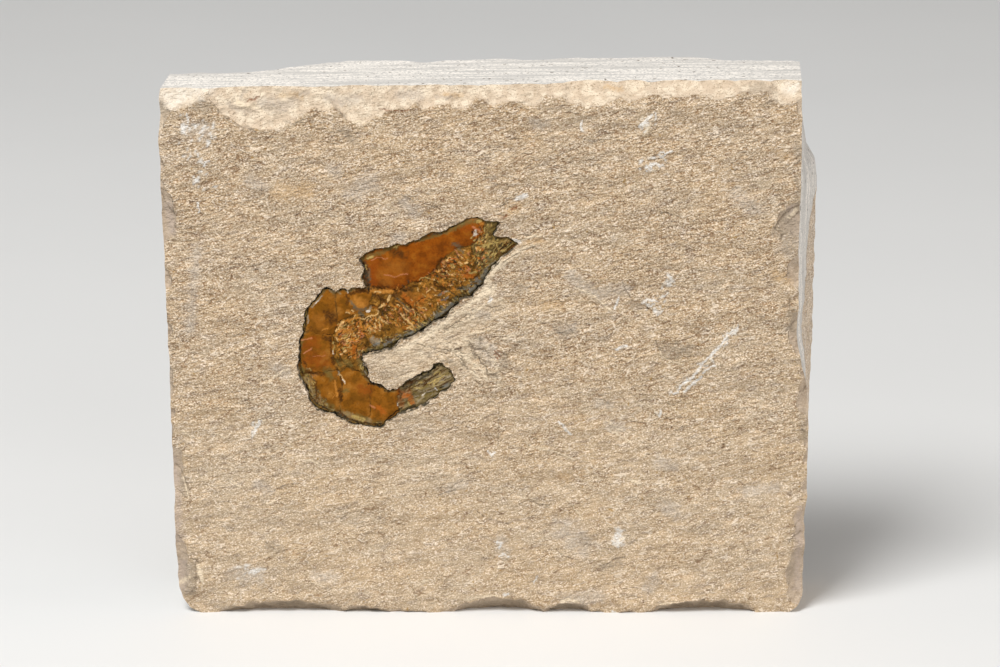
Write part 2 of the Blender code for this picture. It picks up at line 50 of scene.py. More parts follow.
# Slab: driving sizes and profiles, the same as the solid's
FACE_Y = -8.0
HEIGHT_LEFT = 77.5
HEIGHT_RIGHT = 78.4
HALF_WIDTH = 46.1
FACE_LEFT = [(0.0, -41.9), (0.7, -43.3), (2.1, -44.3), (3.6, -44.8), (10.0, -45.1), (22.0, -45.2),
             (40.0, -45.5), (52.0, -45.7), (63.0, -HALF_WIDTH), (76.0, -46.0), (78.5, -45.6)]
FACE_RIGHT = [(0.0, 42.6), (1.0, 44.0), (2.2, 44.6), (11.0, 44.7), (25.0, 44.9), (31.0, 44.8),
              (35.0, 44.2), (40.0, 43.1), (57.0, 43.0), (69.0, 43.1), (78.5, 42.9)]
BACK_LEFT = [(0.0, -42.6), (2.1, -44.2), (10.0, -44.8), (40.0, -45.1), (63.0, -45.5), (78.5, -45.0)]
BACK_RIGHT = [(0.0, 43.2), (2.2, 44.9), (15.0, 45.2), (25.0, 45.6), (36.0, HALF_WIDTH), (61.0, HALF_WIDTH),
              (64.0, 45.7), (66.0, 44.5), (70.0, 43.8), (78.5, 43.3)]
BACK_TOP = [(-46.0, 1.1), (-41.0, 1.5), (-34.0, 1.8), (-30.5, 2.8), (-27.0, 4.9), (-23.5, 6.4),
            (-20.0, 7.4), (-13.0, 7.7), (-9.4, 6.0), (-5.9, 6.9), (1.0, 7.2), (8.0, 6.9), (15.0, 7.7),
            (22.5, 8.1), (29.5, 7.8), (33.0, 6.1), (36.5, 5.8), (42.0, 5.0), (46.0, 3.0)]
BACK_FOOT = [(-46.0, 3.6), (-25.0, 6.0), (0.0, 7.2), (25.0, 7.0), (46.0, 5.0)]
BACK_BREAK = (0.55, 1.0)
FACE_SWELL = 0.22
BACK_SWELL = 0.75
SWELL_SIZE = 11.0
BACK_LUMP_SIZE = 7.0
BACK_LUMP_SHARE = 0.6
BACK_CUTS = (40.0, 80.0)      # where noise is cut for the back's swell and its lumps
CHIP_HOLLOW = 0.5

# Chips round the face by edge, the solid's and two more at the top:
# (place along the edge, half width, reach over the face, reach over the sawn side)
CHIPS = {
    "top": [(-43.2, 3.8, 2.9, 1.1), (-31.4, 8.4, 5.8, 1.5), (-23.3, 3.4, 3.2, 0.8), (-18.5, 4.4, 5.3, 1.6),
            (-15.5, 3.2, 4.0, 1.3), (-12.8, 3.6, 3.4, 1.3), (-8.4, 4.0, 2.9, 1.5), (-4.0, 2.9, 3.2, 1.2),
            (0.6, 3.4, 2.5, 1.2), (5.0, 4.0, 2.6, 1.4), (9.2, 2.8, 1.6, 1.5), (13.8, 5.0, 3.0, 3.1),
            (19.6, 3.0, 2.1, 2.9), (25.4, 4.8, 1.7, 2.7), (31.2, 3.8, 2.0, 2.5), (36.0, 3.4, 1.4, 2.2),
            (41.0, 3.6, 2.6, 2.2)],
    "foot": [(-30.0, 9.2, 1.7, 1.9), (-18.4, 4.2, 0.7, 1.0), (0.8, 6.8, 2.1, 2.2), (11.0, 3.8, 1.3, 1.5),
             (30.4, 7.8, 1.8, 2.0)],
    "left": [(7.4, 5.2, 1.6, 1.0), (22.4, 3.2, 1.7, 0.9), (34.6, 2.6, 0.9, 0.7), (59.4, 4.4, 2.0, 1.1),
             (74.0, 2.6, 1.0, 0.8)],
    "right": [(5.5, 5.0, 2.6, 1.3), (13.0, 3.2, 1.8, 0.9), (32.4, 3.4, 1.5, 0.9), (41.6, 2.8, 1.1, 0.8),
              (51.0, 2.6, 1.7, 0.8), (58.8, 2.6, 3.2, 1.0)],
}
FRESH_HEIGHTS = (68.0, 71.0)  # below these heights chips are duller than the face, above them paler

# How deep the right side is sawn at each height. Behind that it is broken
RIGHT_SAWN = [(34.5, -0.5), (36.0, 3.0), (41.0, 3.7), (56.0, 6.8), (62.0, 12.8), (66.0, 18.0), (78.5, 18.0)]

# Nibbles: small seeded chips that make the edges uneven. Their reaches are shares of their half width
NIBBLES = 150
NIBBLE_SEED = 11
NIBBLE_EDGES = ["top", "top", "foot", "left", "right"]
NIBBLE_PLACES = {"top": (-45.0, 45.0), "foot": (-45.0, 45.0), "left": (1.0, 77.0), "right": (1.0, 77.0)}
NIBBLE_WIDTHS = (0.4, 1.5)
NIBBLE_FACE_REACH = (0.35, 0.7)
NIBBLE_SIDE_REACH = (0.3, 0.5)

# Slab mesh: its cells, and the marks (up to a half width, and how far round them) where they are halved
FACE_COLUMNS = 250
FACE_ROWS = 210
SIDE_RINGS = 11
BACK_COLUMNS = 88
BACK_ROWS = 74
BACK_INSET = (0.012, 0.014)
FINE_BAND = 0.75              # cells are halved this near the shrimp's rim too
FINE_MARKS = (0.35, 0.24)
FINEST_MARKS = (0.22, 0.03)
SNAP_SHARE = 0.25             # points less than this share of a cell from the bed's rim are moved onto it
SNAP_ROUNDS = 3
SLAB_SHARP = 55.0
FACE, SIDE, BACK = range(3)

# Roughness, in rows of (lump size, seed, stretch along the lumps' own turn, the turn, height)
STREAKS = math.radians(12)
LEVEL = -0.03
FACE_GRAIN = [(4.6, 3.0, 2.2, LEVEL, 0.34), (1.9, 7.0, 2.2, 0.8 * STREAKS, 0.27),
              (0.95, 13.0, 2.3, STREAKS, 0.17)]
CHIP_GRAIN = [(2.4, 81.0, 1.0, 0.0, 0.22), (1.0, 83.0, 1.0, 0.0, 0.1)]
GRAIN_IN_CHIPS = 0.35         # share of the face's grain that is left in a chip
CHIP_EDGE = 0.25              # a chip this deep has its own grain in full
LEFT_GRAIN = [(4.0, 5.0, 1.0, 0.0, 0.22), (1.2, 6.0, 1.0, 0.0, 0.1)]
RIGHT_GRAIN = [(4.0, 8.0, 1.0, 0.0, 0.22), (1.2, 9.0, 1.0, 0.0, 0.1)]
BACK_GRAIN = [(3.4, 91.0, 1.5, STREAKS, 0.5), (1.6, 97.0, 1.0, 0.0, 0.3)]
BACK_FOLDS = (8.0, 99.0, 2.0, STREAKS)
BACK_FOLD_HEIGHT = 0.7
FOLD_SHARPNESS = 2.4
BROKEN_GRAIN = [(1.6, 141.0, 1.0, 0.0, 0.18), (0.7, 143.0, 1.0, 0.0, 0.09)]
BROKEN_DEPTH = 0.09
BROKEN_START = 1.5            # the right side's rough part gets its full roughness over this distance
RIGHT_REACH = 0.5             # the right side starts this far in from the face's right edge

# The back's split ledges: where they start and end in their noise, and its lumps
BACK_LEDGES = [((-0.04, 0.04), (17.0, 107.0, 1.5, STREAKS)), ((0.06, 0.12), (11.0, 109.0, 1.8, -STREAKS))]
LEDGE_HEIGHT = 0.8

# Unevenness of outlines, in rows of (lump size, seed along X, seed along Z, reach)
RIM_WAVER = [(1.5, 21.0, 33.0, 0.34), (0.55, 41.0, 53.0, 0.16)]
CHIP_WAVER = [(1.7, 61.0, 67.0, 0.6), (0.6, 71.0, 73.0, 0.12)]
MARK_WAVER = [(0.55, 171.0, 173.0, 0.13)]

# The bed that the shrimp lies in
BED_RIM = 0.15                # the bed's outline in the solid lies this far outside the plates' rims
BED_DEPTH = 1.15
BED_LIP = 0.66                # the lip is this deep, LIP_WIDTH in from the rim
LIP_WIDTH = 0.14
BED_FLOOR = 0.5               # the floor is reached this far in from the rim

# Shrimp
PLATE_BACK = 0.85
PLATE_RIM = 0.38
RIM_ROUND = 1.6
PLATE_GROWTH = 0.153          # how far a plate's fine surface reaches out over the gap round its solid
PLATE_CELL = 0.1
PLATE_SNAP = 0.5              # the share of a cell within which points are moved onto a plate's outline
GRID_MARGIN = 0.8
PLATE_SHARP = 70.0
PLATE_INNER = 0.7             # a plate's relief is full this far in from its edge
LEVEL_SLACK = 0.01            # how exactly a solid's corner lies at the depth that is asked for
RIM_DROP = (0.14, 0.45)       # how far the shell falls at the shrimp's rim, and over what width
SEAM_DROP = (0.015, 0.18)
SHELL_Y = FACE_Y + 0.3        # the plane on which marks over the shrimp are placed
LEG_TURN = math.radians(-52)
TAIL_TURN = math.radians(30)
HEAD_TURN = 0.4

# Plates by node: the kind of surface, how high it is domed, and the material slot
PLATES = {
    "carapace": ("smooth", 0.38, "shell"),
    "head": ("crumbly", 0.16, "soft_shell"),
    "walking_legs": ("folded", 0.12, "soft_shell"),
    "swimmerets": ("folded", 0.12, "soft_shell"),
    **{f"abdomen_segment_{number}": ("banded", 0.30, "shell") for number in range(1, 7)},
    "uropod_inner": ("streaked", 0.10, "tail_shell"),
    "uropod_outer": ("streaked", 0.10, "tail_shell"),
    "telson": ("streaked", 0.10, "tail_shell"),
}

# Relief of the plates: smooth ones have low lumps, crushed ones sharp folds and a fine roughness
SMOOTH_GRAIN = [(2.6, 101.0, 1.0, 0.0, 0.16), (0.9, 103.0, 1.0, 0.0, 0.05)]
CRUSHED = {
    "folded": ((1.3, 111.0, 2.4, LEG_TURN), 0.26, [(0.5, 113.0, 1.0, 0.0, 0.16)]),
    "crumbly": ((1.2, 121.0, 1.6, HEAD_TURN), 0.18, [(0.5, 123.0, 1.0, 0.0, 0.16)]),
    "streaked": ((0.7, 131.0, 7.0, TAIL_TURN), 0.16, [(0.5, 133.0, 1.0, 0.0, 0.05)]),
}

# Camera
PICTURE = (1000, 667)
SENSOR = 36.0
LENS = 160.0
ELEVATION = math.radians(18.0)
DISTANCE = 625.0
TARGET = (1.2, -8.0, 42.1)
CLIP_END = 20.0

# Lights: place in metres, size, power and tint
LIGHTS = {
    "key": ((-0.26, -0.34, 0.74), 0.34, 7.0, (1.0, 1.0, 1.0)),
    "fill": ((0.5, -0.7, 0.3), 0.8, 2.0, (1.0, 1.0, 1.0)),
    "side": ((0.9, -0.12, 0.3), 0.4, 1.9, (1.0, 0.93, 0.90)),
}
STUDIO = (1.0, 0.99, 0.97, 1.0)
STUDIO_POWER = 0.25

# Colours of the stone. A tint multiplies what lies under it
SKIN = (0.535, 0.406, 0.265)
SKIN_OCHRE = (0.550, 0.406, 0.250)
SKIN_GREY = (0.515, 0.409, 0.284)
PATCH_TINT = (0.80, 0.80, 0.84)
PATCH_PALE = (0.72, 0.54, 0.35)
# Painted shade in the grain's pits, pores and cracks, and painted highlights on its raised grain and crests
PIT_SHADE = (0.78, 0.70, 0.62)
PORE_SHADE = (0.60, 0.52, 0.45)
GRAIN_HIGHLIGHT = (0.90, 0.75, 0.60)
CREST_HIGHLIGHT = (0.92, 0.78, 0.62)
CRACK_SHADE = (0.62, 0.54, 0.47)
RUST_SPOT = (0.36, 0.21, 0.06)
FRESH = (0.60, 0.475, 0.345)
FRESH_PALE = (0.74, 0.62, 0.47)
FRESH_DULL = (0.50, 0.40, 0.29)
FRESH_SPOT = (0.40, 0.30, 0.20)
CHIP_DULL = (0.50, 0.395, 0.295)
CHIP_DARK = (0.36, 0.275, 0.20)
# Darker colour along and inside the bed's rim
BED_RIM_DARK = (0.07, 0.055, 0.03)
SAWN = (0.84, 0.79, 0.72)
SAWN_DULL = (0.50, 0.48, 0.45)
SAWN_SPOT = (0.20, 0.17, 0.14)
BROKEN_TINT = (1.27, 1.36, 1.52)
FLOOR_DULL = (0.74, 0.74, 0.73)
FLOOR_PALE = (0.78, 0.78, 0.77)

# Bump of the stone, in millimetres, and how lively its grain is at a low and at a high place
GRAIN_BUMP = 0.56
FINE_BUMP = 0.15
CREST_BUMP = 0.06
LIVELY_HEIGHTS = (8.0, 50.0)
LIVELY_SHARES = (0.62, 1.14)

# Saw lines: (turn, spacing, noise at which they are full, noise at which they end)
SAW_LINES = [(0.0, 0.9, 0.36, 0.50), (0.05, 0.5, 0.38, 0.48), (-0.03, 1.9, 0.34, 0.44)]
SAW_STRETCH = (0.06, 1.0, 0.06)

# Shell by kind: dark, middle and light; then the size of its patches and of its grain, the grain's shade,
# how wide the olive margin is, where the black rim ends, and the grain's bump
SHELLS = {
    "smooth": ((0.170, 0.042, 0.0015), (0.242, 0.061, 0.0025), (0.300, 0.092, 0.006),
               (1.6, 0.28, 0.82, 0.4, 0.66, 0.05)),
    "banded": ((0.170, 0.063, 0.004), (0.240, 0.085, 0.006), (0.315, 0.128, 0.018),
               (1.5, 0.26, 0.82, 0.4, 0.86, 0.05)),
    "folded": ((0.090, 0.042, 0.006), (0.222, 0.096, 0.012), (0.350, 0.165, 0.028),
               (0.75, 0.22, 0.6, 1.0, 0.86, 0.16)),
    "crumbly": ((0.135, 0.085, 0.020), (0.230, 0.140, 0.038), (0.330, 0.215, 0.075),
                (0.60, 0.22, 0.6, 0.4, 0.72, 0.16)),
    "streaked": ((0.110, 0.078, 0.030), (0.200, 0.145, 0.062), (0.320, 0.240, 0.115),
                 (0.45, 0.22, 0.6, 0.4, 0.74, 0.16)),
}
SHELL_MARGIN = (0.135, 0.108, 0.040)
SHELL_SEAM = (0.09, 0.045, 0.010)
SHELL_RIM = (0.010, 0.009, 0.005)
GLOSS = 0.06
SEAMS = 0.62                  # how dark the seams between plates get
STONE_RAGGED = 0.38           # how far marks over the stone, and over the shell, are broken up
SHELL_RAGGED = 0.3

# Paint of a mark by its kind: (linear colour, cover, height in millimetres)
PAINTS = {
    "white": ((0.88, 0.85, 0.80), 0.95, 0.06),
    "chalk": ((0.72, 0.64, 0.53), 0.9, 0.05),
    "cream": ((0.72, 0.45, 0.18), 0.9, 0.06),
    "blush": ((0.50, 0.19, 0.085), 0.75, 0.03),
    "gold": ((0.48, 0.195, 0.032), 0.85, 0.05),
    # amber: painted sheen on the carapace, and a golden tone elsewhere
    "amber": ((0.32, 0.115, 0.014), 0.6, 0.0),
    "orange": ((0.42, 0.105, 0.010), 0.7, 0.02),
    "ruddy": ((0.25, 0.052, 0.004), 0.6, 0.0),
    "rust": ((0.20, 0.055, 0.008), 0.75, -0.02),
    "umber": ((0.070, 0.025, 0.004), 0.88, -0.06),
    "black": ((0.012, 0.009, 0.004), 0.9, -0.12),
    "charcoal": ((0.045, 0.037, 0.022), 0.85, -0.05),
    "slate": ((0.128, 0.106, 0.064), 0.75, -0.02),
    "bluegrey": ((0.150, 0.148, 0.130), 0.8, -0.03),
    "ash": ((0.33, 0.27, 0.185), 0.8, 0.03),
    "olive": ((0.150, 0.105, 0.028), 0.75, -0.02),
    "straw": ((0.45, 0.32, 0.105), 0.85, 0.04),
    "sand": ((0.28, 0.205, 0.10), 0.75, 0.0),
    "fleck": ((0.80, 0.77, 0.72), 0.85, 0.04),
    "milk": ((0.80, 0.72, 0.61), 0.8, 0.0),
    # hollow_shade: painted shade in the hollows of the top chips
    "hollow_shade": ((0.46, 0.375, 0.29), 0.8, -0.04),
    "mauve": ((0.47, 0.375, 0.31), 0.7, -0.02),
    "bleached": ((0.68, 0.55, 0.39), 0.5, 0.02),
    # pale: painted highlights on lit flake edges, and pale scratches
    "pale": ((0.82, 0.68, 0.49), 0.75, 0.08),
    # dark: cracks and creases, with painted shadow in them and under overhangs
    "dark": ((0.17, 0.125, 0.08), 0.65, -0.10),
    "hole": ((0.045, 0.022, 0.007), 0.9, -0.2),
    "ochre": ((0.56, 0.36, 0.17), 0.5, 0.0),
    "grey": ((0.50, 0.44, 0.375), 0.5, 0.0),
    # shade: painted shade in hollows, under overhangs and along the foot, and darker brown-grey patches
    "shade": ((0.31, 0.245, 0.175), 0.65, -0.05),
}

# Marks over the shrimp, each read in the photo: a half width in millimetres, and then the places
# (x, y in the picture's 1000 by 667 pixels) that the stroke runs through
SHRIMP_MARKS = {
    "olive": [(0.34, 364, 259, 368, 256, 382, 252, 389, 248, 396, 246), (0.24, 416, 241, 440, 234),
        (0.3, 440, 233, 447, 232, 467, 222, 479, 221), (0.9, 484, 262, 489, 252), (0.3, 488, 228, 494, 230),
        (0.35, 378, 347, 388, 346, 396, 342), (0.4, 345, 361, 350, 365), (0.25, 341, 366, 337, 361),
        (0.25, 362, 373, 365, 376), (0.5, 327, 371, 331, 376), (0.35, 299, 371, 306, 374),
        (0.3, 344, 391, 347, 390), (0.3, 356, 415, 366, 418), (0.25, 314, 403, 320, 410, 336, 416),
        (0.25, 424, 399, 432, 392), (0.4, 421, 405, 434, 397),
        (0.7, 305, 374, 309, 388, 316, 400, 327, 408), (0.65, 327, 408, 366, 424, 380, 425),
        (0.25, 307, 312, 304, 330), (0.22, 302, 338, 300, 350, 300, 362, 303, 370),
        (0.8, 378, 348, 395, 343, 430, 324, 464, 300), (0.6, 412, 404, 436, 393)],
    "straw": [(0.12, 367, 258, 373, 256), (0.12, 394, 247, 406, 243), (0.11, 366, 265, 366, 269),
        (0.1, 493, 241, 496, 242, 499, 250), (0.3, 484, 246, 489, 244), (0.2, 478, 221, 482, 220),
        (0.07, 512, 244, 502, 252), (0.08, 419, 280, 421, 278, 425, 277, 431, 279),
        (0.13, 451, 264, 454, 266), (0.18, 470, 273, 476, 272), (0.1, 333, 342, 334, 346, 333, 354),
        (0.14, 352, 416, 363, 421), (0.14, 408, 403, 410, 405),
        (0.08, 434, 374, 437, 372, 440, 372, 439, 375), (0.1, 353, 415, 360, 417, 365, 420),
        (0.08, 428, 384, 448, 373)],
    "slate": [(0.12, 434, 234, 438, 233, 442, 234), (0.18, 369, 269, 370, 279), (0.35, 455, 244, 459, 247),
        (0.5, 485, 259, 489, 256), (0.15, 397, 298, 410, 311), (0.25, 370, 350, 374, 350),
        (0.16, 459, 249, 463, 252), (0.22, 458, 289, 468, 286), (0.22, 351, 301, 354, 305),
        (0.3, 355, 307, 360, 310, 365, 309), (0.22, 359, 313, 363, 315), (0.16, 375, 384, 381, 387),
        (0.28, 340, 414, 350, 422), (0.2, 422, 377, 433, 372), (0.35, 400, 343, 428, 327),
        (0.2, 446, 390, 452, 386)],
    "charcoal": [(0.42, 364, 264, 366, 270, 366, 282, 368, 288), (0.14, 494, 263, 490, 267, 486, 268),
        (0.14, 476, 284, 473, 281, 470, 281), (0.13, 458, 257, 460, 260),
        (0.2, 408, 409, 412, 408, 415, 405), (0.26, 435, 366, 438, 364, 442, 364),
        (0.12, 312, 399, 318, 404, 326, 408), (0.1, 333, 411, 352, 420), (0.16, 404, 388, 430, 373),
        (0.3, 366, 268, 368, 287), (0.2, 486, 279, 478, 287, 470, 293)],
    "black": [(0.1, 363, 262, 364, 266), (0.12, 367, 267, 368, 270), (0.14, 364, 278, 366, 280),
        (0.14, 367, 285, 369, 291), (0.09, 473, 229, 472, 233),
        (0.1, 497, 223, 500, 222, 501, 225, 499, 227), (0.1, 514, 242, 511, 242, 507, 244, 500, 250),
        (0.17, 507, 255, 498, 262, 492, 265), (0.13, 490, 270, 484, 283),
        (0.14, 484, 285, 480, 286, 477, 285), (0.14, 403, 290, 406, 291),
        (0.08, 400, 297, 410, 305, 412, 310), (0.1, 418, 282, 423, 281), (0.1, 458, 289, 462, 288),
        (0.12, 399, 341, 412, 337), (0.13, 418, 335, 424, 332, 428, 328, 433, 326, 438, 322),
        (0.13, 450, 311, 462, 303), (0.12, 394, 347, 397, 346), (0.06, 363, 356, 367, 360),
        (0.11, 368, 368, 369, 370), (0.09, 359, 316, 363, 316), (0.1, 331, 338, 331, 342),
        (0.1, 335, 415, 337, 418, 340, 419), (0.11, 312, 407, 315, 410),
        (0.09, 321, 409, 324, 411, 328, 411), (0.12, 369, 384, 373, 384, 383, 387),
        (0.1, 385, 391, 389, 392), (0.12, 392, 389, 395, 389), (0.09, 409, 411, 412, 410),
        (0.11, 414, 376, 419, 375, 435, 368), (0.1, 448, 373, 450, 372), (0.12, 440, 388, 443, 387),
        (0.2, 383, 350, 393, 344, 424, 330), (0.2, 430, 324, 449, 312, 457, 304),
        (0.2, 462, 299, 470, 296, 475, 292), (0.12, 402, 386, 410, 380, 429, 371, 441, 362),
        (0.14, 312, 300, 308, 308, 305, 328, 302, 338), (0.15, 300, 346, 300, 366, 303, 376),
        (0.13, 306, 384, 310, 395, 317, 403, 328, 410), (0.15, 334, 412, 358, 422, 370, 424, 380, 424),
        (0.12, 385, 421, 394, 413, 402, 408), (0.16, 372, 383, 384, 388, 393, 390),
        (0.13, 364, 352, 370, 374)],
    "ruddy": [(0.5, 373, 284, 373, 270, 375, 262), (0.45, 463, 228, 473, 227), (0.8, 304, 345, 314, 343),
        (1, 309, 361, 322, 360), (0.6, 362, 389, 369, 390), (0.4, 398, 390, 402, 394, 408, 393)],
    # Painted sheen on the carapace, and a golden tone elsewhere
    "amber": [(1.1, 390, 268, 399, 266), (0.7, 381, 275, 388, 283), (0.7, 316, 318, 321, 325),
        (0.8, 360, 385, 366, 391), (0.45, 404, 292, 414, 296, 434, 291), (0.4, 414, 300, 422, 302)],
    "umber": [(0.6, 394, 252, 402, 254), (0.35, 376, 288, 388, 288), (0.3, 438, 266, 438, 269),
        (0.5, 441, 262, 443, 270), (0.09, 497, 237, 500, 239, 508, 237, 512, 240),
        (0.08, 516, 243, 500, 256), (0.12, 480, 258, 484, 263, 484, 268), (0.1, 486, 247, 481, 256),
        (0.35, 376, 295, 384, 302), (0.9, 396, 294, 404, 293), (0.22, 402, 289, 408, 289, 414, 286),
        (0.1, 384, 310, 389, 303), (0.1, 398, 313, 404, 321, 408, 324), (0.1, 362, 343, 368, 347, 374, 348),
        (0.06, 426, 297, 421, 298, 417, 302, 415, 306), (0.09, 431, 284, 444, 288),
        (0.1, 473, 278, 478, 275, 482, 270), (0.09, 357, 347, 357, 356), (0.1, 353, 329, 357, 336),
        (0.2, 364, 376, 372, 381), (0.22, 350, 294, 362, 291, 369, 292), (0.25, 357, 289, 364, 290),
        (0.25, 346, 296, 349, 299, 347, 303), (0.4, 327, 312, 330, 318), (0.6, 331, 322, 333, 316),
        (0.3, 323, 338, 329, 339), (0.12, 331, 343, 331, 353), (0.2, 332, 358, 334, 364),
        (0.25, 306, 372, 324, 375), (0.2, 304, 362, 306, 365), (0.12, 316, 381, 317, 398),
        (0.25, 340, 390, 341, 400), (0.09, 341, 377, 342, 386), (0.14, 340, 412, 344, 416),
        (0.09, 399, 392, 402, 394, 400, 399), (0.3, 404, 389, 408, 384, 414, 381),
        (0.1, 408, 384, 419, 380), (0.09, 423, 381, 434, 377), (0.09, 436, 384, 446, 377),
        (0.12, 415, 408, 423, 406, 436, 399), (0.1, 424, 383, 446, 369), (0.1, 428, 391, 452, 380)],
    "blush": [(0.07, 371, 260, 377, 257, 382, 257, 385, 259, 388, 258),
        (0.09, 384, 274, 388, 274, 393, 276, 397, 276, 403, 273, 408, 274), (0.16, 473, 226, 480, 231),
        (0.09, 455, 250, 459, 255, 462, 255), (0.15, 467, 270, 470, 268), (0.09, 300, 340, 312, 338),
        (0.1, 312, 348, 304, 353), (0.05, 312, 356, 325, 355), (0.18, 371, 406, 374, 407)],
    "chalk": [(0.16, 476, 230, 474, 235), (0.15, 475, 235, 477, 234), (0.1, 364, 355, 368, 359),
        (0.11, 369, 358, 372, 359), (0.1, 364, 365, 364, 363), (0.1, 344, 287, 347, 289, 348, 293),
        (0.12, 367, 311, 369, 311), (0.08, 316, 303, 318, 301), (0.08, 333, 351, 334, 354),
        (0.08, 343, 380, 345, 383), (0.08, 397, 403, 398, 406), (0.07, 422, 395, 425, 393)],
    "gold": [(0.22, 480, 222, 483, 224), (0.3, 372, 291, 378, 292, 392, 291),
        (0.09, 396, 301, 400, 302, 409, 312), (0.18, 428, 295, 432, 298), (0.13, 343, 322, 360, 317),
        (0.13, 336, 336, 337, 333, 339, 332), (0.14, 362, 330, 369, 326), (0.3, 344, 332, 349, 331),
        (0.7, 359, 301, 361, 305), (0.2, 347, 310, 353, 313), (0.12, 322, 330, 328, 328),
        (0.16, 335, 381, 337, 396), (0.07, 328, 393, 333, 392, 335, 395, 332, 398)],
    "rust": [(0.16, 514, 246, 504, 258, 494, 267), (0.4, 400, 400, 402, 405)],
    "ash": [(0.09, 486, 268, 496, 260), (0.4, 373, 339, 377, 342), (0.14, 444, 292, 448, 291),
        (0.16, 369, 310, 371, 308), (0.12, 312, 307, 322, 296), (0.1, 308, 315, 308, 323),
        (0.12, 338, 374, 339, 371), (0.09, 411, 380, 421, 376), (0.16, 428, 369, 433, 367),
        (0.08, 439, 382, 450, 376), (0.1, 446, 377, 450, 376), (0.1, 422, 396, 425, 393, 432, 390),
        (0.1, 418, 401, 424, 397), (0.06, 423, 404, 435, 397), (0.11, 310, 305, 314, 298, 321, 292)],
    "bluegrey": [(0.34, 486, 270, 485, 274, 482, 278), (0.22, 480, 281, 476, 279),
        (0.2, 379, 343, 374, 344), (0.15, 442, 300, 445, 299, 448, 296), (0.2, 439, 295, 441, 294),
        (0.25, 446, 309, 451, 305), (0.2, 436, 322, 441, 320), (0.3, 444, 386, 448, 384),
        (0.22, 436, 317, 453, 304), (0.18, 384, 345, 392, 341), (0.15, 404, 335, 414, 331),
        (0.2, 470, 291, 476, 285, 481, 282)],
    "white": [(0.13, 514, 240, 519, 242), (0.08, 435, 388, 437, 390)],
    "cream": [(0.09, 375, 292, 381, 292), (0.13, 390, 295, 388, 301), (0.12, 379, 308, 384, 304),
        (0.08, 404, 307, 409, 312), (0.12, 398, 304, 399, 305), (0.11, 400, 313, 405, 319, 414, 326),
        (0.1, 379, 318, 387, 323), (0.08, 379, 322, 381, 329), (0.1, 375, 323, 376, 328),
        (0.09, 427, 292, 430, 289), (0.08, 432, 287, 436, 290), (0.12, 465, 263, 467, 262),
        (0.11, 446, 271, 447, 272), (0.08, 449, 273, 453, 275), (0.08, 449, 285, 452, 285),
        (0.13, 336, 331, 343, 322), (0.1, 360, 318, 364, 319, 370, 315, 375, 315, 378, 313),
        (0.09, 367, 321, 369, 318), (0.1, 336, 338, 338, 341), (0.08, 346, 340, 349, 338),
        (0.12, 344, 351, 346, 350), (0.1, 346, 312, 349, 313), (0.1, 352, 310, 354, 311),
        (0.11, 340, 375, 345, 382, 345, 384)],
    "orange": [(0.5, 418, 301, 422, 299), (0.4, 404, 297, 412, 303), (0.35, 465, 276, 472, 275),
        (0.35, 354, 347, 355, 353), (0.4, 378, 407, 384, 412), (0.35, 404, 396, 409, 396, 412, 402)],
    "sand": [(0.26, 350, 288, 355, 288), (0.2, 330, 290, 336, 291, 340, 293), (0.5, 417, 386, 422, 385),
        (0.5, 308, 380, 311, 392, 319, 402), (0.4, 345, 413, 356, 418, 369, 421), (0.4, 416, 403, 428, 398),
        (0.3, 430, 380, 440, 374, 448, 371), (0.35, 444, 384, 452, 379)],
}

